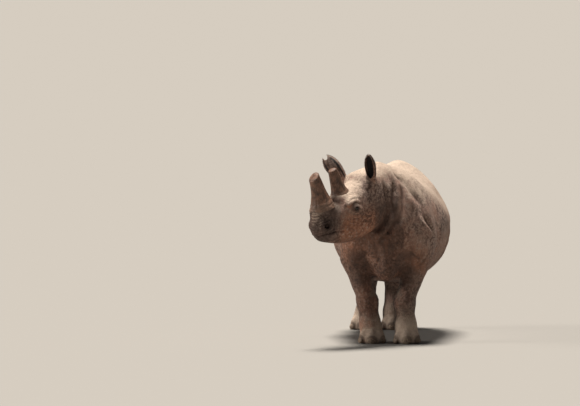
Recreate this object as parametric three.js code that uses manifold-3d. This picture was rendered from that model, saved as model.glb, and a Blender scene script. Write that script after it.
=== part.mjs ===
// A black rhinoceros, life size, standing with its head raised and turned to its right.
// The body is worked out as one smooth field of profiles, lumps and rods, is skinned with
// a net of triangles, and is then parted by thin cuts into head, jaw, neck, trunk, tail,
// legs and feet. Horns, ears, eyes and toenails are pieces of their own.
// Millimetres, +Z up. The animal faces -Y and its left side is +X. The form is laid out
// about a point between its feet, and is then moved so that the origin lies on the floor
// below the middle of the model's box.
import * as THREE from "three";
import { mergeVertices } from "three/addons/utils/BufferGeometryUtils.js";
import Module from "manifold-3d";

const wasm = await Module();
wasm.setup();

// ---------------------------------------------------------------- driving dimensions

const GAP = 0.5; // left between pieces that touch
const TO_MIDDLE = [75, 140, 0]; // from the frame the form is laid out in to the box's middle
const SIDES = { left: 1, right: -1 };

// The head's own frame: x forward, y to its left, z up, from the middle of the eye line.
const HEAD = { at: [-372, -1060, 1172], yaw: 43, pitch: 8, roll: 0 };

// Where each leg bends, from its top to its sole's middle.
const FORELEGS = {
  left: {
    shoulder: [235, -600, 960],
    elbow: [262, -545, 700],
    wrist: [138, -625, 335],
    fetlock: [148, -640, 150],
    sole: [160, -665, 0],
  },
  right: {
    shoulder: [-240, -600, 960],
    elbow: [-292, -545, 700],
    wrist: [-172, -615, 340],
    fetlock: [-148, -625, 150],
    sole: [-134, -650, 0],
  },
};
const HINDLEGS = {
  left: {
    hip: [240, 610, 980],
    knee: [226, 455, 640],
    hock: [38, 858, 405],
    fetlock: [30, 790, 150],
    sole: [28, 758, 0],
  },
  right: {
    hip: [-172, 610, 980],
    knee: [-285, 455, 640],
    hock: [-192, 858, 405],
    fetlock: [-206, 790, 150],
    sole: [-236, 758, 0],
  },
};

// The trunk's sections from chest to rump: where, the middle's height, how far it reaches
// up, down and to each side, and how round its back is (2 is an oval, less is a roof).
const TRUNK = [
  { at: -880, mid: 930, up: 0, down: 0, half: 0, back: 2 },
  { at: -790, mid: 940, up: 290, down: 265, half: 215, back: 2 },
  { at: -650, mid: 950, up: 450, down: 375, half: 330, back: 1.9 },
  { at: -480, mid: 955, up: 500, down: 425, half: 390, back: 1.9 },
  { at: -200, mid: 955, up: 458, down: 460, half: 458, back: 2 },
  { at: 120, mid: 950, up: 442, down: 490, half: 496, back: 1.85 },
  { at: 400, mid: 965, up: 502, down: 462, half: 464, back: 1.5 },
  { at: 600, mid: 1000, up: 472, down: 400, half: 408, back: 1.5 },
  { at: 780, mid: 1010, up: 395, down: 350, half: 336, back: 1.6 },
  { at: 915, mid: 1000, up: 295, down: 290, half: 240, back: 1.8 },
  { at: 1005, mid: 985, up: 0, down: 0, half: 0, back: 2 },
];
const BELLY = 2.25;
const CROUP_SHIFT = 84; // how far the hips stand to the left of the withers

// The head's sections from the nape forward to the lips, in the head's frame.
const SKULL = [
  { at: -440, mid: 10, up: 0, down: 0, half: 0, back: 2.3 },
  { at: -350, mid: 20, up: 225, down: 165, half: 132, back: 2.3 },
  { at: -265, mid: 0, up: 245, down: 182, half: 172, back: 2.6 },
  { at: -160, mid: -35, up: 226, down: 238, half: 170, back: 2.5 },
  { at: -60, mid: -60, up: 205, down: 236, half: 156, back: 2.3 },
  { at: 40, mid: -75, up: 185, down: 224, half: 134, back: 2.3 },
  { at: 130, mid: -85, up: 152, down: 202, half: 110, back: 2.3 },
  { at: 220, mid: -92, up: 140, down: 168, half: 98, back: 2.3 },
  { at: 295, mid: -94, up: 118, down: 118, half: 88, back: 2.3 },
  { at: 342, mid: -96, up: 92, down: 76, half: 66, back: 2.3 },
  { at: 374, mid: -96, up: 0, down: 0, half: 0, back: 2.3 },
];
const JAW = 2.7;

const EYE = { at: [0, 138, -8], r: 25 };
const NOSTRIL = { at: [302, 98, -102], r: [26, 34, 22] };
// Each horn from its root to its worn top: half its length and width at each share of it.
const HORN_FRONT = {
  root: [246, 0, 25],
  top: [311, 0, 316],
  bow: -14,
  slant: 22,
  rings: [
    { at: 0, long: 118, wide: 100 },
    { at: 0.15, long: 106, wide: 88 },
    { at: 0.3, long: 87, wide: 73 },
    { at: 0.5, long: 69, wide: 59 },
    { at: 0.78, long: 56, wide: 48 },
    { at: 1, long: 48, wide: 43 },
  ],
};
const HORN_REAR = {
  root: [18, 0, 78],
  top: [86, 0, 336],
  bow: -8,
  slant: 0,
  rings: [
    { at: 0, long: 106, wide: 88 },
    { at: 0.14, long: 92, wide: 74 },
    { at: 0.32, long: 68, wide: 56 },
    { at: 0.7, long: 52, wide: 44 },
    { at: 0.92, long: 42, wide: 36 },
    { at: 1, long: 34, wide: 30 },
  ],
};
// Each ear's root and length, half its width and depth, the way it points, the way its cup
// opens, and whether its tip is notched.
const EARS = {
  left: {
    root: [-232, 142, 176],
    length: 268,
    half: 51,
    deep: 34,
    points: [48, 30, 245],
    opens: 8,
    notched: false,
  },
  right: {
    root: [-198, -142, 168],
    length: 312,
    half: 64,
    deep: 38,
    points: [66, -158, 236],
    opens: -140,
    notched: true,
  },
};
const EAR = { stalk: 16, thick: 10, bow: -10, bite: [36, 19] };

const TAIL = [
  { at: [CROUP_SHIFT, 930, 1225], r: 58 },
  { at: [CROUP_SHIFT, 1015, 1165], r: 43 },
  { at: [CROUP_SHIFT - 2, 1050, 1030], r: 34 },
  { at: [CROUP_SHIFT - 6, 1052, 850], r: 26 },
  { at: [CROUP_SHIFT - 8, 1050, 690], r: 22 },
];
const TAIL_TIP = { at: [CROUP_SHIFT - 9, 1050, 610], r: [32, 22, 95] };

// Sizes of the net's cells: finer on what is small.
const CELL = { head: 49, jaw: 42, neck: 96, trunk: 124, leg: 64, foot: 59, tail: 40 };

// ---------------------------------------------------------------- smooth fields
// A field is a function of x, y and z that gives about how far a point lies outside a
// surface, and is negative inside it.

const radians = THREE.MathUtils.degToRad;
const clamp = THREE.MathUtils.clamp;
const vector = (a) => new THREE.Vector3(...a);
const turned = (x, y, z) =>
  new THREE.Matrix4().makeRotationFromEuler(
    new THREE.Euler(radians(x), radians(y), radians(z), "ZYX"),
  );

// An egg of three radii, turned about x, then y, then z, in degrees.
function lump(at, r, turn = [0, 0, 0]) {
  const m = turned(...turn).elements;
  return (x, y, z) => {
    const [dx, dy, dz] = [x - at[0], y - at[1], z - at[2]];
    const u = (dx * m[0] + dy * m[1] + dz * m[2]) / r[0];
    const v = (dx * m[4] + dy * m[5] + dz * m[6]) / r[1];
    const w = (dx * m[8] + dy * m[9] + dz * m[10]) / r[2];
    const near = Math.hypot(u, v, w);
    const steep = Math.hypot(u / r[0], v / r[1], w / r[2]);
    return steep < 1e-9 ? -Math.min(...r) : (near * (near - 1)) / steep;
  };
}

// A tapered bar with round ends, wider than it is round across x or y by two factors.
function rod(a, ra, b, rb, wide = 1, deep = 1) {
  const d = [0, 1, 2].map((i) => b[i] - a[i]);
  const long2 = d[0] ** 2 + d[1] ** 2 + d[2] ** 2;
  return (x, y, z) => {
    const along = (x - a[0]) * d[0] + (y - a[1]) * d[1] + (z - a[2]) * d[2];
    const t = clamp(along / long2, 0, 1);
    const away = Math.hypot(
      (x - a[0] - t * d[0]) / wide,
      (y - a[1] - t * d[1]) / deep,
      z - a[2] - t * d[2],
    );
    return away - ra - (rb - ra) * t;
  };
}

// Joins fields with a fillet about k wide.
function blend(k, ...fields) {
  return (x, y, z) => {
    let d = fields[0](x, y, z);
    for (let i = 1; i < fields.length; i++) {
      const e = fields[i](x, y, z);
      const h = Math.max(k - Math.abs(d - e), 0) / k;
      d = Math.min(d, e) - (h * h * k) / 4;
    }
    return d;
  };
}

// Takes a tool out of a field, with an edge rounded by about k.
function hollow(k, field, tool) {
  return (x, y, z) => {
    const [d, e] = [field(x, y, z), -tool(x, y, z)];
    const h = Math.max(k - Math.abs(d - e), 0) / k;
    return Math.max(d, e) + (h * h * k) / 4;
  };
}

// The same field on both sides of the plane y = 0.
const paired = (field) => (x, y, z) => field(x, Math.abs(y), z);

// A smooth curve through the values of sections, at place t.
function curve(sections, value) {
  const at = sections.map((s) => s.at);
  const v = sections.map(value);
  const last = at.length - 1;
  const slope = v.map((_, i) => {
    const [a, b] = [Math.max(i - 1, 0), Math.min(i + 1, last)];
    return (v[b] - v[a]) / (at[b] - at[a]);
  });
  return (t) => {
    if (t <= at[0]) return v[0];
    if (t >= at[last]) return v[last];
    let i = 0;
    while (t > at[i + 1]) i++;
    const h = at[i + 1] - at[i];
    const s = (t - at[i]) / h;
    const back = v[i] * (1 + 2 * s) + slope[i] * h * s;
    const front = v[i + 1] * (3 - 2 * s) - slope[i + 1] * h * (1 - s);
    return back * (1 - s) ** 2 + front * s * s;
  };
}

// A body along t whose sections are half ovals above and below a middle, the lower of one
// roundness. What runs smoothly along it is the squares of its sizes, so that it closes
// roundly where a section is empty.
function profile(sections, below) {
  const [mid, back] = ["mid", "back"].map((k) => curve(sections, (s) => s[k]));
  const [up, down, half] = ["up", "down", "half"].map((k) =>
    curve(sections, (s) => s[k] ** 2),
  );
  const [first, last] = [sections[0].at, sections.at(-1).at];
  const size = (f, t) => Math.sqrt(Math.max(f(t), 1));
  const filled = (t, side, z) => {
    const high = z - mid(t);
    const n = high > 0 ? back(t) : below;
    const tall = size(high > 0 ? up : down, t);
    const across = Math.abs(side / size(half, t)) ** n;
    return (across + Math.abs(high / tall) ** n) ** (1 / n) - 1;
  };
  // How far away the skin is: the value over its slope, where the slope along t counts
  // for no more than the slope across, so that a blunt end casts no rim about itself.
  const step = 3;
  return (t, side, z) => {
    const f = filled(t, side, z);
    const across = Math.hypot(
      filled(t, side + step, z) - filled(t, side - step, z),
      filled(t, side, z + step) - filled(t, side, z - step),
    );
    const along = filled(t + step, side, z) - filled(t - step, side, z);
    const slope = Math.hypot(across, clamp(along, -across, across));
    const away = (f * 2 * step) / Math.max(slope, 1e-4);
    return Math.max(away, first - t, t - last, -500);
  };
}

// ---------------------------------------------------------------- the animal's form

// From the head's frame to the body's: forward is -Y turned by yaw to the right.
const headMatrix = new THREE.Matrix4()
  .makeRotationZ(radians(-90 - HEAD.yaw))
  .multiply(turned(HEAD.roll, HEAD.pitch, 0))
  .setPosition(...HEAD.at);
const headInverse = headMatrix.clone().invert();

function inHead(field) {
  const m = headInverse.elements;
  return (x, y, z) =>
    field(
      m[0] * x + m[4] * y + m[8] * z + m[12],
      m[1] * x + m[5] * y + m[9] * z + m[13],
      m[2] * x + m[6] * y + m[10] * z + m[14],
    );
}

// Skull, cheeks, brows, horn bosses, nostrils and the hooked upper lip, in the head's frame.
function headForm() {
  const skull = profile(SKULL, JAW);
  const soft = blend(
    34,
    skull,
    paired(lump([-196, 98, -100], [122, 82, 138], [0, -14, 0])), // cheek
    lump([-250, 0, 188], [74, 164, 66]), // crest between the ears
    paired(lump([6, 108, 44], [74, 40, 36], [0, 10, 12])), // brow
    paired(lump([-8, 114, -32], [66, 40, 42])), // rim under the eye
    paired(lump([-226, 108, 140], [62, 56, 58])), // root of the ear
    lump([246, 0, 8], [120, 92, 70]), // boss of the front horn
    lump([20, 0, 76], [118, 92, 56]), // boss of the rear horn
    paired(lump([292, 62, -104], [52, 40, 46])), // nostril
    lump([330, 0, -156], [40, 46, 54], [0, 14, 0]), // hooked lip
    lump([238, 0, -208], [84, 62, 42]), // chin
  );
  const socket = paired(lump([4, 152, -8], [36, 22, 26]));
  return hollow(10, soft, socket);
}

// The neck swings from the shoulders round to the nape.
function neckForm() {
  return blend(
    70,
    lump([-12, -600, 1105], [285, 250, 365], [0, 0, -8]),
    lump([-92, -715, 1228], [188, 205, 300], [0, 0, -22]),
    lump([-160, -840, 1245], [136, 200, 218], [0, 0, -36]),
  );
}

// Shoulder blade, upper arm, forearm, wrist, cannon and foot.
function forelegForm(leg, side) {
  const [ex, ey, ez] = leg.elbow;
  const [sx, sy] = leg.sole;
  const upper = blend(
    60,
    lump(leg.shoulder, [140, 205, 330], [-14, -side * 7, 0]),
    lump([ex - side * 12, ey + 10, ez + 95], [122, 185, 205], [12, 0, 0]),
  );
  const lower = blend(
    34,
    rod([ex - side * 14, ey - 10, ez], 122, leg.wrist, 80, 0.9, 1.3),
    lump([leg.wrist[0], leg.wrist[1] - 8, leg.wrist[2] + 6], [90, 104, 100]),
    rod(leg.wrist, 82, leg.fetlock, 82, 1, 1.1),
  );
  return blend(46, blend(60, upper, lower), footForm([sx, sy], leg.fetlock, 1.06));
}

// Thigh, gaskin, hock, cannon and foot.
function hindlegForm(leg, side) {
  const [hx, hy, hz] = leg.hip;
  const [kx, ky, kz] = leg.knee;
  const upper = blend(
    70,
    lump([hx + side * 18, hy - 10, hz - 100], [205, 275, 350], [-14, 0, 0]),
    lump([hx - side * 6, hy + 200, hz - 120], [146, 182, 300], [14, 0, 0]),
    lump([kx - side * 10, ky + 40, kz + 70], [130, 160, 200], [10, 0, 0]),
  );
  const [ox, oy, oz] = leg.hock;
  const lower = blend(
    40,
    rod([kx - side * 24, ky + 80, kz], 150, [ox, oy - 14, oz + 30], 84, 0.84, 1.28),
    rod([hx, hy + 205, hz - 260], 128, [ox, oy + 26, oz + 44], 62, 0.9, 1.1),
    lump([ox, oy + 24, oz + 22], [62, 66, 78]),
    rod(leg.hock, 80, leg.fetlock, 77, 1, 1.1),
  );
  return blend(46, blend(60, upper, lower), footForm(leg.sole, leg.fetlock, 0.97));
}

const TOE_ANGLES = [-58, 0, 58]; // from straight ahead
const toePlace = ([sx, sy], angle, reach, size) => [
  sx + Math.sin(radians(angle)) * reach * size,
  sy - 14 - Math.cos(radians(angle)) * reach * size * 1.02,
];

// A pad with three round toes, flared from the fetlock.
function footForm(sole, fetlock, size) {
  const [sx, sy] = sole;
  const toes = TOE_ANGLES.map((angle) =>
    lump([...toePlace(sole, angle, 62, size), 42], [50 * size, 54 * size, 66]),
  );
  return blend(
    22,
    rod(fetlock, 80 * size, [sx, sy + 10, 62], 92 * size),
    lump([sx, sy + 8, 40], [99 * size, 104 * size, 72]),
    ...toes,
  );
}

function tailForm() {
  const links = TAIL.slice(1).map((b, i) => rod(TAIL[i].at, TAIL[i].r, b.at, b.r));
  return blend(14, ...links, lump(TAIL_TIP.at, TAIL_TIP.r));
}

// The trunk with its hips set over, the chest's keel and the withers.
function trunkForm() {
  const barrel = profile(TRUNK, BELLY);
  const shift = curve(
    [
      { at: -400, x: 0 },
      { at: 100, x: 10 },
      { at: 600, x: CROUP_SHIFT },
      { at: 1000, x: CROUP_SHIFT },
    ],
    (s) => s.x,
  );
  return blend(
    80,
    (x, y, z) => barrel(y, x - shift(y), z),
    lump([-16, -690, 690], [100, 150, 176], [-16, 0, 0]), // keel of the chest
    lump([-12, -470, 1250], [150, 260, 162], [-4, 0, 0]), // withers
  );
}

const frontForm = blend(120, trunkForm(), blend(60, neckForm(), inHead(headForm())));
const bodyForm = blend(
  70,
  frontForm,
  forelegForm(FORELEGS.left, 1),
  forelegForm(FORELEGS.right, -1),
  hindlegForm(HINDLEGS.left, 1),
  hindlegForm(HINDLEGS.right, -1),
);

// ---------------------------------------------------------------- skinning a field

const NEAR = 1e-3;

// Moves a point onto the field's surface along the steepest way.
function settle(field, p) {
  const e = 1.5;
  for (let turn = 0; turn < 3; turn++) {
    const d = field(p.x, p.y, p.z);
    const g = new THREE.Vector3(
      field(p.x + e, p.y, p.z) - field(p.x - e, p.y, p.z),
      field(p.x, p.y + e, p.z) - field(p.x, p.y - e, p.z),
      field(p.x, p.y, p.z + e) - field(p.x, p.y, p.z - e),
    ).divideScalar(2 * e);
    p.addScaledVector(g, -d / Math.max(g.lengthSq(), 0.2));
  }
}

// A closed net over the part of a field inside a box: one point for each cell that the
// surface passes through, and a square across each grid line that it crosses.
function netOver(field, low, high, cell) {
  const n = low.map((l, i) => Math.max(3, Math.round((high[i] - l) / cell)));
  const step = low.map((l, i) => (high[i] - l) / n[i]);
  const id = (i, j, k) => (k * (n[1] + 1) + j) * (n[0] + 1) + i;
  const value = new Float32Array((n[0] + 1) * (n[1] + 1) * (n[2] + 1));
  const corner = (i, j, k) => new THREE.Vector3(
    low[0] + i * step[0],
    low[1] + j * step[1],
    low[2] + k * step[2],
  );
  for (let k = 0; k <= n[2]; k++)
    for (let j = 0; j <= n[1]; j++)
      for (let i = 0; i <= n[0]; i++) {
        const edge = [i, j, k].some((v, a) => v === 0 || v === n[a]);
        const p = corner(i, j, k);
        const d = field(p.x, p.y, p.z);
        value[id(i, j, k)] = edge ? Math.max(d, cell / 2) : d || NEAR;
      }
  const points = [];
  const pointOf = new Map();
  const corners = [0, 1, 2, 3, 4, 5, 6, 7].map((c) => [c & 1, (c >> 1) & 1, c >> 2]);
  for (let k = 0; k < n[2]; k++)
    for (let j = 0; j < n[1]; j++)
      for (let i = 0; i < n[0]; i++) {
        const sum = new THREE.Vector3();
        let crossings = 0;
        for (const a of corners)
          for (let axis = 0; axis < 3; axis++) {
            if (a[axis]) continue;
            const b = a.map((v, x) => (x === axis ? 1 : v));
            const va = value[id(i + a[0], j + a[1], k + a[2])];
            const vb = value[id(i + b[0], j + b[1], k + b[2])];
            if (va < 0 === vb < 0) continue;
            const pa = corner(i + a[0], j + a[1], k + a[2]);
            sum.add(pa.lerp(corner(i + b[0], j + b[1], k + b[2]), va / (va - vb)));
            crossings++;
          }
        if (!crossings) continue;
        const p = sum.divideScalar(crossings);
        settle(field, p);
        p.clamp(corner(i + 0.05, j + 0.05, k + 0.05), corner(i + 0.95, j + 0.95, k + 0.95));
        pointOf.set(id(i, j, k), points.length);
        points.push(p);
      }
  const faces = [];
  for (let axis = 0; axis < 3; axis++) {
    const [u, v] = [(axis + 1) % 3, (axis + 2) % 3];
    for (let k = 0; k <= n[2]; k++)
      for (let j = 0; j <= n[1]; j++)
        for (let i = 0; i <= n[0]; i++) {
          const at = [i, j, k];
          if (at[axis] === n[axis] || !at[u] || !at[v]) continue;
          if (at[u] === n[u] || at[v] === n[v]) continue;
          const next = at.map((w, a) => (a === axis ? w + 1 : w));
          const inside = value[id(...at)] < 0;
          if (inside === value[id(...next)] < 0) continue;
          const around = [[1, 1], [0, 1], [0, 0], [1, 0]].map(([du, dv]) => {
            const c = [...at];
            c[u] -= du;
            c[v] -= dv;
            return pointOf.get(id(...c));
          });
          if (!inside) around.reverse();
          const [a, b, c, d] = around;
          const short =
            points[a].distanceToSquared(points[c]) <
            points[b].distanceToSquared(points[d]);
          faces.push(...(short ? [a, b, c, a, c, d] : [b, c, d, b, d, a]));
        }
  }
  return geometryOf(points, faces);
}

function geometryOf(points, faces) {
  const flat = new Float32Array(points.flatMap((p) => [p.x, p.y, p.z]));
  return new THREE.BufferGeometry()
    .setAttribute("position", new THREE.BufferAttribute(flat, 3))
    .setIndex(faces);
}

// ---------------------------------------------------------------- closed shapes

// A closed geometry as a solid that can be cut and joined.
function solid(geometry) {
  const g = geometry.clone().deleteAttribute("normal").deleteAttribute("uv");
  const merged = mergeVertices(g, NEAR);
  return new wasm.Manifold(
    new wasm.Mesh({
      numProp: 3,
      vertProperties: merged.attributes.position.array,
      triVerts: new Uint32Array(merged.index.array),
    }),
  );
}

// A solid's largest body as a geometry again. A net may touch itself at a point, where
// rounding parts it, so the largest body is looked for once more after that.
function geometryFrom(made) {
  return bodyOf(solid(bodyOf(made)));
}

function bodyOf(made) {
  const bodies = made.decompose();
  const body = bodies.reduce((a, b) => (a.volume() > b.volume() ? a : b));
  const { numProp, vertProperties, triVerts } = body.getMesh();
  const place = new Float32Array((vertProperties.length / numProp) * 3);
  for (let i = 0; i * numProp < vertProperties.length; i++)
    place.set(vertProperties.subarray(i * numProp, i * numProp + 3), i * 3);
  return new THREE.BufferGeometry()
    .setAttribute("position", new THREE.BufferAttribute(place, 3))
    .setIndex(new THREE.BufferAttribute(triVerts, 1));
}

// The same shape with every point moved out, between the faces round it, far enough for
// each of them to move by the distance asked for, or by up to four times that.
function swollen(geometry, by) {
  const bare = geometry.clone().deleteAttribute("normal").deleteAttribute("uv");
  const g = mergeVertices(bare, NEAR);
  const { position } = g.attributes;
  const at = [...Array(position.count).keys()].map((i) =>
    new THREE.Vector3().fromBufferAttribute(position, i),
  );
  const faces = at.map(() => []);
  const index = g.index.array;
  for (let i = 0; i < index.length; i += 3) {
    const [a, b, c] = index.subarray(i, i + 3);
    const face = new THREE.Triangle(at[a], at[b], at[c]).getNormal(new THREE.Vector3());
    for (const v of [a, b, c]) faces[v].push(face);
  }
  at.forEach((p, i) => {
    const out = new THREE.Vector3();
    faces[i].forEach((face) => out.add(face));
    const share = Math.min(...faces[i].map((face) => face.dot(out.normalize())));
    p.addScaledVector(out, by / Math.max(share, 0.25));
    position.setXYZ(i, p.x, p.y, p.z);
  });
  return g;
}

// A closed skin over rings of points, with its two ends filled from their middles.
function loft(rings) {
  const [many, count] = [rings.length, rings[0].length];
  const points = rings.flat();
  const faces = [];
  for (let r = 0; r + 1 < many; r++)
    for (let i = 0; i < count; i++) {
      const [a, b] = [r * count + i, r * count + ((i + 1) % count)];
      faces.push(a, b, b + count, a, b + count, a + count);
    }
  for (const [r, out] of [[0, false], [many - 1, true]]) {
    const middle = new THREE.Vector3();
    rings[r].forEach((p) => middle.add(p));
    points.push(middle.divideScalar(count));
    for (let i = 0; i < count; i++) {
      const edge = [r * count + i, r * count + ((i + 1) % count)];
      faces.push(points.length - 1, ...(out ? edge : edge.reverse()));
    }
  }
  return geometryOf(points, faces);
}

// Points all round a ring, from the cosine and sine of each one's angle.
const ring = (count, place) =>
  [...Array(count).keys()].map((i) => {
    const angle = (2 * Math.PI * i) / count;
    return place(Math.cos(angle), Math.sin(angle));
  });

// A block from a low corner to a high one, in a frame of its own.
function block(low, high, matrix = new THREE.Matrix4()) {
  const size = high.map((h, i) => h - low[i]);
  const middle = high.map((h, i) => (h + low[i]) / 2);
  return new THREE.BoxGeometry(...size).translate(...middle).applyMatrix4(matrix);
}

// ---------------------------------------------------------------- horns, ears, nails

// A horn is a stack of ovals along a bowed line, rounded off at its worn top.
function hornGeometry({ root, top, bow, slant, rings }) {
  const [a, b] = [vector(root), vector(top)];
  const middle = a.clone().lerp(b, 0.5).add(new THREE.Vector3(bow, 0, 0));
  const line = new THREE.QuadraticBezierCurve3(a, middle, b);
  const [long, wide] = [curve(rings, (s) => s.long), curve(rings, (s) => s.wide)];
  const levels = [0, 0.13, 0.27, 0.45, 0.65, 0.84, 0.95].map((t) => [t, 1]);
  const across = new THREE.Vector3(0, 1, 0);
  return loft(
    [...levels, [0.985, 0.82], [1, 0.45]].map(([t, share]) => {
      const [centre, along] = [line.getPoint(t), line.getTangent(t)];
      const ahead = across.clone().cross(along).normalize();
      return ring(14, (c, s) =>
        centre
          .clone()
          .addScaledVector(ahead, c * long(t) * share)
          .addScaledVector(across, s * wide(t) * share)
          .addScaledVector(along, -slant * c * share * t * t),
      );
    }),
  );
}

// An ear is a leaf-shaped bulb on a short stalk, hollowed out from its front, with a
// bite out of its edge where it is notched. Gives the ear and the bulb it was cut from.
function earGeometry(ear) {
  const { root, length, points, opens } = ear;
  const [steps, sides] = [8, 10];
  const up = vector(points).normalize();
  const front = new THREE.Vector3(Math.cos(radians(opens)), Math.sin(radians(opens)), 0);
  const across = up.clone().cross(front).normalize();
  const ahead = across.clone().cross(up).normalize();
  const frame = new THREE.Matrix4().makeBasis(ahead, across, up).setPosition(...root);
  const bulb = (from, thinner, forward) => {
    const rings = [];
    for (let i = 0; i <= steps; i++) {
      const t = from + (1 - from) * Math.sin((Math.PI / 2) * (i / steps));
      const leaf = Math.sin(Math.PI * Math.min(0.12 + 0.88 * t, 1) ** 1.8) ** 0.62;
      const stalk = EAR.stalk * (1 - t) ** 2;
      const half = Math.max(ear.half * leaf + stalk - thinner, 2);
      const deep = Math.max(ear.deep * leaf + stalk - thinner, 2);
      const bow = EAR.bow * t * t + forward * Math.min(1, (t - from) * 4);
      const z = length * (t - 0.1) - (i === steps ? thinner : 0);
      rings.push(ring(sides, (c, s) => new THREE.Vector3(bow + c * deep, s * half, z)));
    }
    return loft(rings);
  };
  const cup = solid(bulb(0.2, EAR.thick, ear.deep * 0.62));
  const [tall, wide] = EAR.bite;
  const bite = new THREE.SphereGeometry(1, 10, 7).scale(100, wide, tall);
  bite.translate(0, 0, length * 0.88);
  const whole = bulb(0, 0, 0);
  const hollowed = solid(whole).subtract(cup);
  const kept = ear.notched ? hollowed.subtract(solid(bite)) : hollowed;
  return [geometryFrom(kept), whole].map((g) => g.applyMatrix4(frame));
}

const eyeGeometry = (side) =>
  new THREE.SphereGeometry(EYE.r, 9, 6).translate(EYE.at[0], EYE.at[1] * side, EYE.at[2]);

const NAIL = { wide: 33, deep: 17, tall: 27, low: 26 };

function nailGeometry(sole, angle, size) {
  const wide = angle === 0 ? 1.15 : 0.95;
  return new THREE.SphereGeometry(1, 7, 5)
    .scale(NAIL.wide * wide * size, NAIL.deep, NAIL.tall)
    .rotateX(radians(-16))
    .rotateZ(radians(angle))
    .translate(...toePlace(sole, angle, 106, size), NAIL.low + 2);
}

// ---------------------------------------------------------------- materials

const paint = (name, color, roughness) =>
  new THREE.MeshStandardMaterial({ name, color, roughness, metalness: 0 });
const HIDE = paint("hide", 0x8f7a6c, 0.9);
const HORN = paint("horn", 0x5a4436, 0.7);
const NAIL_HORN = paint("nail", 0xa08d78, 0.65);
const EYEBALL = paint("eye", 0x120b08, 0.15);

function piece(name, geometry, material) {
  const mesh = new THREE.Mesh(geometry, material);
  mesh.name = name;
  return mesh;
}

// ---------------------------------------------------------------- the parts

const rhinoceros = new THREE.Group();
const body = new THREE.Group();
const headGroup = new THREE.Group();
headMatrix.decompose(headGroup.position, headGroup.quaternion, headGroup.scale);
body.position.set(...TO_MIDDLE);
body.add(headGroup);
rhinoceros.add(body);

const FAR = 4000;
// The head's block, in its own frame: the neck begins at its back wall.
const BLOCK = { low: [-330, -206, -300], high: [600, 206, 420] };
const MOUTH = { corner: 112, back: -172, lips: -206, front: 372 };

// Horns, ears and eyes, each set in a pocket of the head.
const headPieces = [];
const pockets = [];
function seat(name, geometry, material, filled = geometry) {
  headPieces.push(piece(name, geometry, material));
  pockets.push(swollen(filled, GAP));
}
for (const side of [1, -1]) {
  const nostril = new THREE.SphereGeometry(1, 10, 7).scale(...NOSTRIL.r);
  nostril.rotateZ(radians(-34 * side)).rotateY(radians(18));
  pockets.push(nostril.translate(NOSTRIL.at[0], NOSTRIL.at[1] * side, NOSTRIL.at[2]));
}
seat("horn_front", hornGeometry(HORN_FRONT), HORN);
seat("horn_rear", hornGeometry(HORN_REAR), HORN);
for (const [name, side] of Object.entries(SIDES)) {
  const [ear, bulb] = earGeometry(EARS[name]);
  seat(`ear_${name}`, ear, HIDE, bulb);
  seat(`eye_${name}`, eyeGeometry(side), EYEBALL);
}

const headBlock = (grow) =>
  solid(
    block(
      BLOCK.low.map((v) => v - grow),
      BLOCK.high.map((v) => v + grow),
    ),
  );

// The lower jaw lies below the line of the mouth and ahead of its corner.
function jawBlock(grow) {
  const slope = Math.atan2(MOUTH.back - MOUTH.lips, MOUTH.front - MOUTH.corner);
  const matrix = new THREE.Matrix4()
    .makeRotationY(slope)
    .setPosition(MOUTH.corner, 0, MOUTH.back);
  return solid(block([-grow, -300, -300], [500, 300, grow], matrix));
}

function headParts() {
  const inside = (x, y, z) => {
    const p = new THREE.Vector3(x, y, z).applyMatrix4(headMatrix);
    return frontForm(p.x, p.y, p.z);
  };
  const net = (low, high, cell) => solid(netOver(inside, low, high, cell));
  const whole = net([-420, -260, -340], [440, 260, 380], CELL.head);
  let skull = whole.intersect(headBlock(0)).subtract(jawBlock(GAP));
  for (const pocket of pockets) skull = skull.subtract(solid(pocket));
  const front = net([40, -200, -330], [440, 200, -110], CELL.jaw);
  return {
    head: geometryFrom(skull),
    lower_jaw: geometryFrom(front.intersect(jawBlock(0))),
  };
}

// A leg's block is all that lies below its slanting top and outside its inner wall, which
// runs from beside the top down past the wrist or hock.
function legBlock(leg, side, grow) {
  const [top, bend] = [leg.elbow ?? leg.knee, leg.wrist ?? leg.hock];
  const hind = Boolean(leg.hock);
  const high = top[2] + (hind ? -50 : -25);
  const lean = new THREE.Matrix4()
    .makeRotationY(radians(side * (hind ? 12 : 10)))
    .setPosition(top[0], top[1], high);
  const [ahead, behind] = hind ? [-230, 560] : [-215, 235];
  const below = block([-420, ahead - grow, -FAR], [420, behind + grow, grow], lean);
  const inner = top[0] - side * 190;
  const slope = Math.atan2(side * (inner - bend[0]) + 105, high - bend[2]);
  const wall = new THREE.Matrix4().makeRotationY(side * slope).setPosition(inner, 0, high);
  const [from, to] = side > 0 ? [-grow, FAR] : [-FAR, grow];
  return solid(below).intersect(solid(block([from, -FAR, -FAR], [to, FAR, FAR], wall)));
}

const ANKLE = 128; // height of the cut between leg and foot
const CROTCH = { behind: 560, height: 625 }; // where nothing of the trunk hangs lower
const floor = solid(block([-FAR, -FAR, -FAR], [FAR, FAR, 0]));

function nails(sole, size, name) {
  return TOE_ANGLES.map((angle, i) =>
    piece(`nail_${name}_${i + 1}`, nailGeometry(sole, angle, size), NAIL_HORN),
  );
}

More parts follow.
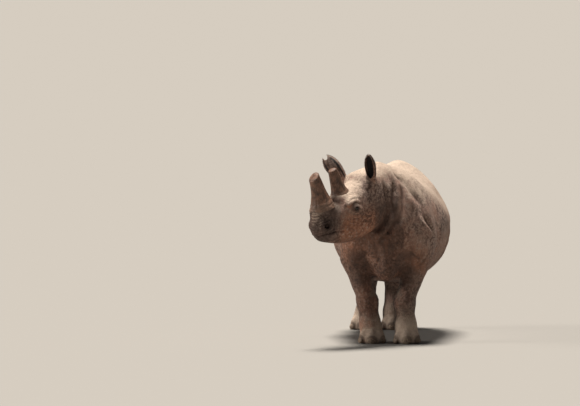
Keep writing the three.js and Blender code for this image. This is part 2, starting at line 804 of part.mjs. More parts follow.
function legParts(leg, side, name, size) {
  const region = legBlock(leg, side, -GAP / 2);
  const [sx, sy] = leg.sole;
  const top = leg.elbow ?? leg.knee;
  const reach = Math.max(Math.abs(top[0] - sx), 60) + 190;
  const low = [Math.min(top[0], sx) - reach, Math.min(top[1], sy) - 300];
  const high = [Math.max(top[0], sx) + reach, Math.max(top[1], sy) + 420];
  const fine = netOver(
    bodyForm,
    [sx - 170, sy - 180, -40],
    [sx + 170, sy + 230, 230],
    CELL.foot,
  );
  const coarse = netOver(bodyForm, [...low, 40], [...high, top[2] + 260], CELL.leg);
  const above = solid(block([-FAR, -FAR, ANKLE + GAP / 2], [FAR, FAR, FAR]));
  const below = solid(block([-FAR, -FAR, 0], [FAR, FAR, ANKLE - GAP / 2]));
  let foot = solid(fine).intersect(below);
  const own = nails(leg.sole, size, name);
  for (const nail of own) {
    foot = foot.subtract(solid(swollen(nail.geometry, GAP)));
    nail.geometry = geometryFrom(solid(nail.geometry).subtract(floor));
  }
  const shank = solid(coarse).intersect(region).intersect(above);
  return [
    piece(`leg_${name}`, geometryFrom(shank), HIDE),
    piece(`foot_${name}`, geometryFrom(foot), HIDE),
    ...own,
  ];
}

function trunkParts() {
  // The neck parts from the trunk on a slant, from the withers down to the chest.
  const slant = new THREE.Matrix4()
    .makeRotationFromEuler(new THREE.Euler(radians(-31), 0, radians(-10), "ZYX"))
    .setPosition(0, -755, 1000);
  const ahead = (grow) =>
    solid(block([-FAR, -FAR, -FAR], [FAR, grow, FAR], slant));
  const tail = netOver(
    tailForm(),
    [CROUP_SHIFT - 100, 850, 470],
    [CROUP_SHIFT + 100, 1120, 1320],
    CELL.tail,
  );
  const others = [
    headBlock(GAP).transform(headMatrix.elements),
    solid(block([-FAR, CROTCH.behind, -FAR], [FAR, FAR, CROTCH.height])),
  ];
  for (const [name, side] of Object.entries(SIDES)) {
    others.push(legBlock(FORELEGS[name], side, GAP / 2));
    others.push(legBlock(HINDLEGS[name], side, GAP / 2));
  }
  const without = (made) => others.reduce((kept, other) => kept.subtract(other), made);
  const barrel = netOver(bodyForm, [-640, -1160, 250], [640, 1120, 1640], CELL.trunk);
  const trunk = without(solid(barrel).subtract(ahead(GAP / 2)));
  const front = netOver(bodyForm, [-560, -1280, 560], [460, -420, 1640], CELL.neck);
  const neck = without(solid(front).intersect(ahead(-GAP / 2)));
  return {
    trunk: geometryFrom(trunk.subtract(solid(swollen(tail, GAP)))),
    neck: geometryFrom(neck),
    tail,
  };
}

for (const [name, geometry] of Object.entries(headParts()))
  headGroup.add(piece(name, geometry, HIDE));
headGroup.add(...headPieces);
for (const [name, geometry] of Object.entries(trunkParts()))
  body.add(piece(name, geometry, HIDE));
for (const [name, side] of Object.entries(SIDES)) {
  body.add(...legParts(FORELEGS[name], side, `fore_${name}`, 1.06));
  body.add(...legParts(HINDLEGS[name], side, `hind_${name}`, 0.97));
}

export default rhinoceros;
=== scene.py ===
"""A black rhinoceros, life size, standing with its head raised and turned to its right.

One skin covers head, neck, trunk, tail, legs and feet. It is the surface of a smooth
field of profiles, lumps and rods, skinned with a net whose cells are small where the
form is fine, and then creased by folds and wrinkles. Eyes, horns, toenails and the
bristles of tail and ears are pieces of their own.

The form is laid out in millimetres about a point between the feet, facing -Y with its
left side at +X, and is turned into metres in the frame's own place at the end.
"""

from concurrent.futures import ThreadPoolExecutor

import bpy
import numpy as np
from bpy.props import FloatProperty, FloatVectorProperty, IntProperty, PointerProperty
from bpy.types import Operator, Panel, PropertyGroup
from mathutils import Matrix, Vector


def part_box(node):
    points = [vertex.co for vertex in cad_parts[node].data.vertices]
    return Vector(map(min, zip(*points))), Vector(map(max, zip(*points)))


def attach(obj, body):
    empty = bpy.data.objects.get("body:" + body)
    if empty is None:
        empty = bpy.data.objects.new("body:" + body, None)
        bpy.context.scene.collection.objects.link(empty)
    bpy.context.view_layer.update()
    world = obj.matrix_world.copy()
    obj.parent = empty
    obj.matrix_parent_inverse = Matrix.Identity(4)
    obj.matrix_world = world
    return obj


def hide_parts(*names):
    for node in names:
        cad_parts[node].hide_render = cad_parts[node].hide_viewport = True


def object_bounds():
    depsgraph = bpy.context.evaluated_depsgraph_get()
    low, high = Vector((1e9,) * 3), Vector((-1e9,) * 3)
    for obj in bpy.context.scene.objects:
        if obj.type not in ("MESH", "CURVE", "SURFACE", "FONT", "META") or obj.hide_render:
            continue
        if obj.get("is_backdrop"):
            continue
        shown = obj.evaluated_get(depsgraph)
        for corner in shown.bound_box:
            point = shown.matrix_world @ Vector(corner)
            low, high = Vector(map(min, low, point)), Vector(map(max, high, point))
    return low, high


bl_info = {
    "name": "Black rhinoceros",
    "version": (1, 0, 0),
    "blender": (4, 5, 0),
    "location": "View3D > Sidebar > Rhinoceros",
    "description": "Skin, horns, eyes, toenails and bristles of a standing rhinoceros",
    "category": "Object",
}

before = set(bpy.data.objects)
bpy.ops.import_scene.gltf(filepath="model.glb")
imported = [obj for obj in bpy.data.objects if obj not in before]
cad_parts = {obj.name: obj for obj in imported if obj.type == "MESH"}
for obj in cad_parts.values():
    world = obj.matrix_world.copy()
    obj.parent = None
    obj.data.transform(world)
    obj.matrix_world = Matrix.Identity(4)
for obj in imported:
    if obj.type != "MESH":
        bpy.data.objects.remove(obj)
CAD_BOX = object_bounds()

MM = 0.001
TO_MIDDLE = np.array([75.0, 140.0, 0.0])  # from the form's frame to the box's middle
SIDES = {"left": 1, "right": -1}

# ------------------------------------------------------------------ sizes of the form

# The head's own frame: x forward, y to its left, z up, from the middle of the eye line.
HEAD = {"at": (-372, -1060, 1172), "yaw": 43, "pitch": 8}

# Where each leg bends, from its top to its sole's middle.
LEGS = {
    "fore": {
        "left": dict(
            shoulder=(235, -600, 960), elbow=(262, -545, 700), wrist=(138, -625, 335),
            fetlock=(148, -640, 150), sole=(160, -665, 0),
        ),
        "right": dict(
            shoulder=(-240, -600, 960), elbow=(-292, -545, 700), wrist=(-172, -615, 340),
            fetlock=(-148, -625, 150), sole=(-134, -650, 0),
        ),
    },
    "hind": {
        "left": dict(
            hip=(240, 610, 980), knee=(226, 455, 640), hock=(38, 858, 405),
            fetlock=(30, 790, 150), sole=(28, 758, 0),
        ),
        "right": dict(
            hip=(-172, 610, 980), knee=(-285, 455, 640), hock=(-192, 858, 405),
            fetlock=(-206, 790, 150), sole=(-236, 758, 0),
        ),
    },
}
FOOT_SIZE = {"fore": 1.06, "hind": 0.97}

# Sections of the trunk: where it is along y, its middle's height, how far it reaches
# up, down and to each side, and how round its back is (2 is an oval, less is a roof).
TRUNK = [
    (-880, 930, 0, 0, 0, 2),
    (-790, 940, 290, 265, 215, 2),
    (-650, 950, 450, 375, 330, 1.9),
    (-480, 955, 500, 425, 390, 1.9),
    (-200, 955, 458, 460, 458, 2),
    (120, 950, 442, 490, 496, 1.85),
    (400, 965, 502, 462, 464, 1.5),
    (600, 1000, 472, 400, 408, 1.5),
    (780, 1010, 395, 350, 336, 1.6),
    (915, 1000, 295, 290, 240, 1.8),
    (1005, 985, 0, 0, 0, 2),
]
BELLY = 2.25  # how round the trunk is below, as n of an oval
CROUP_SHIFT = 84  # how far the hips stand to the left of the withers
SHIFT = [(-400, 0), (100, 10), (600, CROUP_SHIFT), (1000, CROUP_SHIFT)]

# Sections of the head from the nape forward to the lips, in the head's frame.
SKULL = [
    (-440, 10, 0, 0, 0, 2.3),
    (-350, 20, 225, 165, 132, 2.3),
    (-265, 0, 245, 182, 172, 2.6),
    (-160, -35, 226, 238, 170, 2.5),
    (-60, -60, 205, 236, 156, 2.3),
    (40, -75, 185, 224, 134, 2.3),
    (130, -85, 152, 202, 110, 2.3),
    (220, -92, 140, 168, 98, 2.3),
    (295, -94, 118, 118, 88, 2.3),
    (342, -96, 92, 76, 66, 2.3),
    (374, -96, 0, 0, 0, 2.3),
]
JAW = 2.7  # how round the head is below

EYE = dict(at=(0, 138, -8), r=25, bulge=0.06)
NOSTRIL = dict(at=(302, 98, -102), r=(26, 34, 22), turn=(0, 18, -34))
# Each horn from its root to its worn top, with half its length and width at shares of it.
HORNS = {
    "front": dict(
        root=(246, 0, 25), top=(311, 0, 316), bow=-14, slant=22,
        rings=[
            (0, 118, 100), (0.15, 106, 88), (0.3, 87, 73),
            (0.5, 69, 59), (0.78, 56, 48), (1, 48, 43),
        ],
    ),
    "rear": dict(
        root=(18, 0, 78), top=(86, 0, 336), bow=-8, slant=0,
        rings=[
            (0, 106, 88), (0.14, 92, 74), (0.32, 68, 56),
            (0.7, 52, 44), (0.92, 42, 36), (1, 34, 30),
        ],
    ),
}
# Each ear's root and length, half its width and depth, the way it points, the way its cup
# opens, and whether its tip is notched.
EARS = {
    "left": dict(
        root=(-232, 142, 176), length=268, half=51, deep=34,
        points=(48, 30, 245), opens=8, notched=False,
    ),
    "right": dict(
        root=(-198, -142, 168), length=312, half=64, deep=38,
        points=(66, -158, 236), opens=-140, notched=True,
    ),
}
EAR = dict(stalk=16, thick=10, bow=-10, bite=(36, 19), bite_at=0.88, sunk=0.1)

TAIL = [
    ((CROUP_SHIFT, 930, 1225), 58),
    ((CROUP_SHIFT, 1015, 1165), 43),
    ((CROUP_SHIFT - 2, 1050, 1030), 34),
    ((CROUP_SHIFT - 6, 1052, 850), 26),
    ((CROUP_SHIFT - 8, 1050, 690), 22),
]
TAIL_TIP = dict(at=(CROUP_SHIFT - 9, 1050, 610), r=(32, 22, 95))

TOE_ANGLES = {1: -58, 2: 0, 3: 58}  # from straight ahead
NAIL = dict(wide=33, deep=17, tall=27, low=26, ahead=106, leans=-16)
NAILS = [(end, side, number) for end in LEGS for side in SIDES for number in TOE_ANGLES]

# The net's cell on the trunk. It is halved on head, feet and folds, and once more at the
# ears, eyes, nostrils and lips.
NET_CELL = 16.0
NET_LOW, NET_HIGH = (-720, -1500, -64), (700, 1200, 1760)
LEVELS = 3
NEAR_SURFACE = 2.1  # cells farther than this from the surface, in cells, are dropped
FLOOR_REACH = 600.0  # metres

# ------------------------------------------------------------------ smooth fields
# A field is a function of an array of points that gives about how far each one lies
# outside a surface, and is negative inside it.

CORNERS = np.array([(c & 1, c >> 1 & 1, c >> 2) for c in range(8)])


def turned(x, y, z):
    """The turn by x, then y, then z degrees about the fixed axes, as a matrix."""
    turn = Matrix.Rotation(np.radians(z), 3, "Z")
    turn = turn @ Matrix.Rotation(np.radians(y), 3, "Y")
    return np.array(turn @ Matrix.Rotation(np.radians(x), 3, "X"))


def lump(at, r, turn=(0, 0, 0)):
    """An egg: with k the length of (p / r), its distance is k (k - 1) / |p / r / r|."""
    at, r, axes = np.array(at, float), np.array(r, float), turned(*turn)

    def field(p):
        q = (p - at) @ axes / r
        near = np.sqrt((q * q).sum(-1))
        q /= r
        return near * (near - 1) / np.maximum(np.sqrt((q * q).sum(-1)), 1e-9)

    return field


def rod(a, ra, b, rb, wide=1.0, deep=1.0):
    """A tapered bar with round ends: the distance from a line less a radius along it,
    where distances across x and y count 1 / wide and 1 / deep."""
    a, along = np.array(a, float), np.subtract(b, a).astype(float)

    def field(p):
        q = p - a
        t = np.clip(q @ along / (along @ along), 0, 1)
        q = (q - t[:, None] * along) / (wide, deep, 1)
        return np.sqrt((q * q).sum(-1)) - ra - (rb - ra) * t

    return field


def blend(k, *fields):
    """The least of the fields, less h h k / 4 where two differ by less than k, with h
    the share of k that they differ less by: a fillet about k wide."""

    def field(p):
        d = fields[0](p)
        for other in fields[1:]:
            e = other(p)
            h = np.maximum(k - np.abs(d - e), 0) / k
            d = np.minimum(d, e) - h * h * k / 4
        return d

    return field


def hollow(k, body, tool):
    """A body less a tool: the greater of the body's field and the tool's turned round,
    with the same fillet."""

    def field(p):
        d, e = body(p), -tool(p)
        h = np.maximum(k - np.abs(d - e), 0) / k
        return np.maximum(d, e) + h * h * k / 4

    return field


def on_left(q):
    """Points of both sides of the plane y = 0 as points of its left side."""
    return np.where((False, True, False), np.abs(q), q)


def paired(one):
    """The same field on both sides of the plane y = 0."""
    return lambda p: one(on_left(p))


def curve(at, values):
    """A smooth curve through values: a cubic between each two, whose slope at a value is
    that between its two neighbours. It is kept as a table of short straight steps."""
    at, values = np.array(at, float), np.array(values, float)
    slope = np.empty_like(values)
    slope[1:-1] = (values[2:] - values[:-2]) / (at[2:] - at[:-2])
    slope[0] = (values[1] - values[0]) / (at[1] - at[0])
    slope[-1] = (values[-1] - values[-2]) / (at[-1] - at[-2])
    t = np.linspace(at[0], at[-1], 2000)
    i = np.clip(np.searchsorted(at, t, "right") - 1, 0, len(at) - 2)
    h = at[i + 1] - at[i]
    s = (t - at[i]) / h
    back = values[i] * (1 + 2 * s) + slope[i] * h * s
    front = values[i + 1] * (3 - 2 * s) - slope[i + 1] * h * (1 - s)
    table = back * (1 - s) ** 2 + front * s * s
    return lambda place: np.interp(place, t, table)


def profile(sections, below):
    """A body along x whose sections are half ovals above and below a middle. Its value is
    (|y / half|^n + |dz / tall|^n)^(1/n) - 1, and its distance is that over its slope,
    where the slope along x counts for no more than the slope across. The squares of the
    sizes run smoothly along it, so that it closes roundly where a section is empty."""
    at, mid, up, down, half, back = np.array(sections, float).T
    middle, roundness = curve(at, mid), curve(at, back)
    up2, down2, half2 = (curve(at, v * v) for v in (up, down, half))

    def filled(t, side, z):
        """The value, and its slope across the section."""
        high = z - middle(t)
        above = high > 0
        n = np.where(above, roundness(t), below)
        tall = np.sqrt(np.maximum(np.where(above, up2(t), down2(t)), 1))
        wide = np.sqrt(np.maximum(half2(t), 1))
        a, b = np.maximum(np.abs(side) / wide, 1e-6), np.maximum(np.abs(high) / tall, 1e-6)
        an, bn = a**n, b**n
        near = (an + bn) ** (1 / n)
        return near - 1, near / (an + bn) * np.hypot(an / a / wide, bn / b / tall)

    step = 3.0

    def field(p):
        t, side, z = p.T
        value, across = filled(t, side, z)
        along = filled(t + step, side, z)[0] - filled(t - step, side, z)[0]
        slope = np.hypot(across, np.clip(along / (2 * step), -across, across))
        away = value / np.maximum(slope, 2e-5)
        return np.maximum.reduce([away, at[0] - t, t - at[-1], np.full(len(t), -500.0)])

    return field


def local(low, high, one):
    """A field that is worked out only inside a box, and lies far away outside it."""

    def field(p):
        inside = ((p > low) & (p < high)).all(-1)
        d = np.full(len(p), 1000.0)
        d[inside] = one(p[inside])
        return d

    return field


def shared_out(one, many=12000):
    """The same field, worked out for a few thousand points at a time on every core."""

    def field(p):
        with ThreadPoolExecutor() as pool:
            return np.concatenate(list(pool.map(one, np.array_split(p, len(p) // many + 1))))

    return field


def slope_of(field, p, step=1.5):
    """A field's value and slope at points, from four samples at the corners of a small
    tetrahedron round each: the mean of the four, and their sum along the corners."""
    corners = np.array([(1, -1, -1), (-1, -1, 1), (-1, 1, -1), (1, 1, 1)], float)
    samples = np.array([field(p + step * corner) for corner in corners])
    return samples.mean(0), (samples.T @ corners) / (4 * step)


def settled(field, p, turns=3):
    """Points moved onto a field's surface along its steepest way, by Newton's steps."""
    for _ in range(turns):
        value, slope = slope_of(field, p)
        p = p - slope * (value / np.maximum((slope * slope).sum(-1), 0.2))[:, None]
    return p


def unit(v):
    """Vectors made one long."""
    return v / np.maximum(np.linalg.norm(v, axis=-1, keepdims=True), 1e-9)


def eased(v, low, high):
    """Nought below low, one above high, and 3 s s - 2 s s s between them."""
    s = np.clip((v - low) / (high - low), 0, 1)
    return s * s * (3 - 2 * s)


def within(v, low, high, soft):
    """One between low and high, fading to nought over a soft border outside them."""
    return eased(v, low - soft, low) * (1 - eased(v, high, high + soft))


def near_to(p, middle, near, far):
    """One up to a distance from a point, fading to nought at a greater one."""
    return 1 - eased(np.linalg.norm(p - middle, axis=1), near, far)


def bell(v, wide):
    """e^-(v / wide)^2."""
    return np.exp(-((v / wide) ** 2))


def cuts(phase):
    """Narrow cuts at the whole numbers of a phase: (1 - |sin(pi phase)|)^3."""
    return (1 - np.abs(np.sin(np.pi * phase))) ** 3


def noise(p, size, seed):
    """Random numbers from -1 to 1 on a lattice of a given size, eased between them."""
    table = np.random.default_rng(seed).uniform(-1, 1, (64, 64, 64))
    q = p / size + 500
    cell = np.floor(q).astype(int)
    s = q - cell
    s = s * s * (3 - 2 * s)
    total = np.zeros(len(p))
    for corner in CORNERS:
        share = np.prod(np.where(corner, s, 1 - s), axis=1)
        total += share * table[tuple(((cell + corner) % 64).T)]
    return total


def rough_noise(p, size, seed):
    """Three octaves of noise, each half as large and half as strong as the last."""
    return sum(noise(p, size / 2**i, seed + i) / 2**i for i in range(3)) / 1.75


# ------------------------------------------------------------------ the animal's form

HEAD_AXES = turned(0, 0, -90 - HEAD["yaw"]) @ turned(0, HEAD["pitch"], 0)
HEAD_AT = np.array(HEAD["at"], float)


def to_head(p):
    """Points of the body's frame in the head's frame."""
    return (p - HEAD_AT) @ HEAD_AXES


def from_head(p):
    """Points of the head's frame in the body's frame."""
    return np.asarray(p, float) @ HEAD_AXES.T + HEAD_AT


def ear_axes(ear):
    """The way an ear's cup opens, the way across it and the way it points."""
    up = unit(np.array(ear["points"], float))
    angle = np.radians(ear["opens"])
    across = unit(np.cross(up, (np.cos(angle), np.sin(angle), 0)))
    return np.array([np.cross(across, up), across, up])


def leaf(ear, t):
    """An ear's outline at a share t of its length: half its width and its depth."""
    swell = np.maximum(np.sin(np.pi * np.minimum(0.12 + 0.88 * t, 1) ** 1.8), 0) ** 0.62
    stalk = EAR["stalk"] * (1 - t) ** 2
    return ear["half"] * swell + stalk, ear["deep"] * swell + stalk


def ear_line(ear, share):
    """The line along an ear, from a share of its length to its tip."""
    root, way = np.array(ear["root"], float), unit(np.array(ear["points"], float))
    return np.array([root + share * ear["length"] * way, root + ear["length"] * way])


def ear_form(ear):
    """A leaf-shaped bulb on a stalk, less a cup that opens ahead and a bite at its edge."""
    axes, root = ear_axes(ear), np.array(ear["root"], float)
    wall, bulb, cup = EAR["thick"], [], []
    for t in np.linspace(0, 1, 9):
        half, deep = leaf(ear, t) if t < 1 else (0, 0)
        along, bow = ear["length"] * (t - EAR["sunk"]), EAR["bow"] * t * t
        bulb.append((along, bow, deep, deep, half, 2))
        if t > 0.1:
            opening = eased(t, 0.1, 0.4)
            sizes = (deep + 30) * opening, (deep - wall) * opening, (half - wall) * opening
            cup.append((along, bow, *np.maximum(sizes, 0), 2))
    cup[-1] = (cup[-1][0] - wall, *cup[-1][1:])
    whole = hollow(5, profile(bulb, 2), profile(cup, 2))
    if ear["notched"]:
        bite = lump((ear["length"] * EAR["bite_at"], 0, 0), (*EAR["bite"], 100))
        whole = hollow(6, whole, bite)
    order, near = axes[[2, 1, 0]], ear["length"] / 2
    return local(root - near * 1.6, root + near * 3.2, lambda p: whole((p - root) @ order.T))


def lid_form(soft):
    """Thick lids over the eyeball, with an almond opening that slopes down in front."""
    x, y, z = EYE["at"]
    lids = lump((x, y, z), (40, 31, 34))
    opening = lump((x + 2, y + 26, z - 1), (23, 20, 12.5), (0, 10, 0))
    return hollow(4, blend(16, soft, paired(lids)), paired(opening))


def head_form():
    """Skull, cheeks, brows, horn bosses, nostrils, lips, lids and ears."""
    soft = blend(
        34,
        profile(SKULL, JAW),
        paired(lump((-196, 98, -100), (122, 82, 138), (0, -14, 0))),  # cheek
        lump((-250, 0, 188), (74, 164, 66)),  # crest between the ears
        paired(lump((6, 108, 44), (74, 40, 36), (0, 10, 12))),  # brow
        paired(lump((-8, 114, -32), (66, 40, 42))),  # rim under the eye
        paired(lump((-226, 108, 140), (62, 56, 58))),  # root of the ear
        lump((246, 0, 8), (120, 92, 70)),  # boss of the front horn
        lump((20, 0, 76), (118, 92, 56)),  # boss of the rear horn
        paired(lump((292, 62, -104), (52, 40, 46))),  # nostril
        lump((330, 0, -156), (40, 46, 54), (0, 14, 0)),  # hooked lip
        lump((238, 0, -208), (84, 62, 42)),  # chin
    )
    soft = hollow(10, soft, paired(lump((4, 152, -8), (36, 22, 26))))
    soft = hollow(8, soft, paired(lump(NOSTRIL["at"], NOSTRIL["r"], NOSTRIL["turn"])))
    whole = blend(12, lid_form(soft), *(ear_form(ear) for ear in EARS.values()))
    return local((-660, -560, -520), (600, 560, 680), whole)


def neck_form():
    """The neck swings from the shoulders round to the nape."""
    whole = blend(
        70,
        lump((-12, -600, 1105), (285, 250, 365), (0, 0, -8)),
        lump((-92, -715, 1228), (188, 205, 300), (0, 0, -22)),
        lump((-160, -840, 1245), (136, 200, 218), (0, 0, -36)),
    )
    return local((-560, -1300, 520), (520, -120, 1760), whole)


def foreleg_form(leg, side):
    """Shoulder blade, upper arm, forearm, wrist, cannon and foot."""
    ex, ey, ez = leg["elbow"]
    wx, wy, wz = leg["wrist"]
    upper = blend(
        60,
        lump(leg["shoulder"], (140, 205, 330), (-14, -side * 7, 0)),
        lump((ex - side * 12, ey + 10, ez + 95), (122, 185, 205), (12, 0, 0)),
    )
    lower = blend(
        34,
        rod((ex - side * 14, ey - 10, ez), 122, leg["wrist"], 80, 0.9, 1.3),
        lump((wx, wy - 8, wz + 6), (90, 104, 100)),
        rod(leg["wrist"], 82, leg["fetlock"], 82, 1, 1.1),
    )
    foot = foot_form(leg["sole"], leg["fetlock"], FOOT_SIZE["fore"])
    whole = blend(46, blend(60, upper, lower), foot)
    return local((ex - 420, ey - 480, -200), (ex + 420, ey + 480, 1560), whole)


def hindleg_form(leg, side):
    """Thigh, gaskin, hock, cannon and foot."""
    hx, hy, hz = leg["hip"]
    kx, ky, kz = leg["knee"]
    ox, oy, oz = leg["hock"]
    upper = blend(
        70,
        lump((hx + side * 18, hy - 10, hz - 100), (205, 275, 350), (-14, 0, 0)),
        lump((hx - side * 6, hy + 200, hz - 120), (146, 182, 300), (14, 0, 0)),
        lump((kx - side * 10, ky + 40, kz + 70), (130, 160, 200), (10, 0, 0)),
    )
    lower = blend(
        40,
        rod((kx - side * 24, ky + 80, kz), 150, (ox, oy - 14, oz + 30), 84, 0.84, 1.28),
        rod((hx, hy + 205, hz - 260), 128, (ox, oy + 26, oz + 44), 62, 0.9, 1.1),
        lump((ox, oy + 24, oz + 22), (62, 66, 78)),
        rod(leg["hock"], 80, leg["fetlock"], 77, 1, 1.1),
    )
    foot = foot_form(leg["sole"], leg["fetlock"], FOOT_SIZE["hind"])
    whole = blend(46, blend(60, upper, lower), foot)
    return local((kx - 460, hy - 520, -200), (kx + 460, hy + 680, 1480), whole)


def toe_place(sole, angle, reach, size):
    """A place ahead of a sole's middle, turned by an angle from straight ahead."""
    x = sole[0] + np.sin(np.radians(angle)) * reach * size
    return x, sole[1] - 14 - np.cos(np.radians(angle)) * reach * size * 1.02


def foot_form(sole, fetlock, size):
    """A pad with three round toes, flared from the fetlock."""
    x, y, _ = sole
    toes = (
        lump((*toe_place(sole, angle, 62, size), 42), (50 * size, 54 * size, 66))
        for angle in TOE_ANGLES.values()
    )
    return blend(
        22,
        rod(fetlock, 80 * size, (x, y + 10, 62), 92 * size),
        lump((x, y + 8, 40), (99 * size, 104 * size, 72)),
        *toes,
    )


def tail_form():
    """A tapered tail with a flat tip."""
    links = (rod(a, ra, b, rb) for (a, ra), (b, rb) in zip(TAIL, TAIL[1:]))
    whole = blend(14, *links, lump(TAIL_TIP["at"], TAIL_TIP["r"]))
    return local((-220, 700, 340), (300, 1300, 1460), whole)


def trunk_form():
    """The barrel with its hips set over, the chest's keel and the withers."""
    barrel, shift = profile(TRUNK, BELLY), curve(*np.array(SHIFT).T)

    def shifted(p):
        x, y, z = p.T
        return barrel(np.stack([y, x - shift(y), z], -1))

    return blend(
        80,
        shifted,
        lump((-16, -690, 690), (100, 150, 176), (-16, 0, 0)),
        lump((-12, -470, 1250), (150, 260, 162), (-4, 0, 0)),
    )


def body_form():
    """The whole animal, stood on the floor at z = 0."""
    head = head_form()
    front = blend(120, trunk_form(), blend(60, neck_form(), lambda p: head(to_head(p))))
    legs = [foreleg_form(LEGS["fore"][name], side) for name, side in SIDES.items()]
    legs += [hindleg_form(LEGS["hind"][name], side) for name, side in SIDES.items()]
    whole = blend(30, blend(70, front, *legs), tail_form())
    return shared_out(hollow(14, whole, lambda p: p[:, 2]))


# ------------------------------------------------------------------ skinning the field


def packed(cells):
    """One whole number for the three of each cell."""
    return (cells[:, 0] << 40) + (cells[:, 1] << 20) + cells[:, 2]


def whereabouts(keys, sought):
    """Where each sought number stands in a sorted row of them, or -1."""
    if not len(keys):
        return np.full(len(sought), -1)
    at = np.minimum(np.searchsorted(keys, sought), len(keys) - 1)
    return np.where(keys[at] == sought, at, -1)


def net_over(field, low, high, cell, wanted):
    """A closed net over a field's surface, with cells of three sizes. One point stands in
    each cell that the surface passes through, at the mean of the places where it crosses
    the cell's edges, and one face stands round each shortest edge that it crosses."""
    low = np.array(low, float)

    def split(cells, size):
        """The halves of cells that lie near the surface."""
        small = (cells[:, None] * 2 + CORNERS).reshape(-1, 3)
        away = np.abs(field(low + (small + 0.5) * size / 2))
        return small[away < size * NEAR_SURFACE]

    size = cell * 8
    many = np.ceil((np.array(high) - low) / size).astype(int)
    cells = np.indices(many).reshape(3, -1).T
    while size > cell:
        cells = split(cells, size)
        size /= 2
    leaves, keys, parted, sizes = [], [], [], []
    for level in range(LEVELS):
        finer = wanted(low + (cells + 0.5) * size) > level
        kept = cells[~finer]
        leaves.append(kept[np.argsort(packed(kept))])
        keys.append(packed(leaves[-1]))
        parted.append(np.sort(packed(cells[finer])))
        sizes.append(size)
        cells = split(cells[finer], size)
        size /= 2
    first = np.cumsum([0] + [len(kept) for kept in leaves])

    def owner(level, cells):
        """The point of the leaf that holds each cell: -1 where the cell is split."""
        found = whereabouts(keys[level], packed(cells))
        point = np.where(found >= 0, first[level] + found, -2)
        for up in range(1, level + 1):
            found = whereabouts(keys[level - up], packed(cells >> up))
            point = np.where(found >= 0, first[level - up] + found, point)
        return np.where(whereabouts(parted[level], packed(cells)) >= 0, -1, point)

    total, sums, quads = first[-1], 0, []
    for level, (kept, size) in enumerate(zip(leaves, sizes)):
        names = np.unique(packed((kept[:, None] + CORNERS).reshape(-1, 3)))
        lattice = np.stack([names >> 40, (names >> 20) & 0xFFFFF, names & 0xFFFFF], 1)
        value = field(low + lattice * size)
        for axis in range(3):
            step, u, v = (np.roll((1, 0, 0), axis + turn) for turn in range(3))
            ends = whereabouts(names, packed(lattice + step))
            crossed = (ends >= 0) & ((value < 0) != (value[ends] < 0))
            a, b = np.flatnonzero(crossed), ends[crossed]
            start = lattice[a]
            turns = (u + v, v, 0 * u, u)
            around = np.stack([owner(level, start - back) for back in turns], 1)
            own = (around != -1).all(1)
            if (around[own] == -2).any():
                raise RuntimeError("the net has a gap: cells near the surface were dropped")
            a, b, start, around = a[own], b[own], start[own], around[own]
            share = value[a] / (value[a] - value[b])
            place = low + (start + share[:, None] * step) * size
            weights = np.concatenate([np.ones((len(place), 1)), place], 1)
            sums = sums + np.stack(
                [np.bincount(around.ravel(), np.repeat(w, 4), total) for w in weights.T], 1
            )
            outward = value[a] < 0
            quads.append(np.where(outward[:, None], around, around[:, ::-1]))
    quads = np.concatenate(quads)
    used = sums[:, 0] > 0
    points = sums[used, 1:] / sums[used, :1]
    corner = np.concatenate([low + kept * s for kept, s in zip(leaves, sizes)])[used]
    wide = np.concatenate([np.full(len(k), s) for k, s in zip(leaves, sizes)])[used, None]
    points = np.clip(settled(field, points), corner + 0.05 * wide, corner + 0.95 * wide)
    number = np.cumsum(used) - 1
    quads = number[quads]
    same = quads == np.roll(quads, -1, axis=1)
    three = same.sum(1) == 1
    triangles = quads[three][~same[three]].reshape(-1, 3)
    return points, quads[same.sum(1) == 0], triangles


def evened(field, points, quads, turns=2):
    """Slides each point half way to the middle of the faces round it, and settles it on
    the field again, so that the net's cells are of even size."""
    for _ in range(turns):
        middles = points[quads].mean(1)
        count = np.bincount(quads.ravel(), minlength=len(points))
        sums = [np.bincount(quads.ravel(), np.repeat(m, 4), len(points)) for m in middles.T]
        mean = np.stack(sums, 1) / np.maximum(count, 1)[:, None]
        moved = np.where(count[:, None] > 0, (points + mean) / 2, points)
        points = settled(field, moved, 1)
    return points


def fineness(p):
    """The level of the net's cells at points: 1 on head, feet and folds, 2 where the head
    is finest, 0 elsewhere."""
    q = to_head(p)
    mirrored, right_as_left = on_left(q), np.where((True, False, False), np.abs(p), p)
    level = np.zeros(len(p), int)
    level[np.all(np.abs(q - (50, 0, 60)) < (350, 260, 420), axis=1)] = 1
    level[p[:, 2] < 150] = 1
    for made in FOLDS:
        if not made["head"]:
            away = nearest_on(made["route"], right_as_left if made["both"] else p)[0]
            level[away < 1.1 * made["wide"]] = 1
    for middle, reach in ((EYE["at"], 68), (NOSTRIL["at"], 60)):
        level[np.linalg.norm(mirrored - middle, axis=1) < reach] = 2
    level[nearest_on(np.array(MOUTH, float), mirrored)[0] < 26] = 2
    for ear in EARS.values():
        level[nearest_on(ear_line(ear, 0), q)[0] < 74] = 2
    return level


# ------------------------------------------------------------------ folds and wrinkles

# The mouth's line on the left, from its corner to the lip, in the head's frame.
MOUTH = [
    (92, 112, -160), (135, 106, -178), (180, 98, -172),
    (260, 88, -176), (330, 58, -182), (356, 0, -186),
]


def fold(wide, deep, lip, *route, both=False, head=False):
    """A fold's route over the skin, how wide and deep its valley is and how high the roll
    beside it stands. It lies in the body's frame or the head's, on one side or on both."""
    route = np.array(route, float)
    return dict(wide=wide, deep=deep, lip=lip, route=route, both=both or head, head=head)


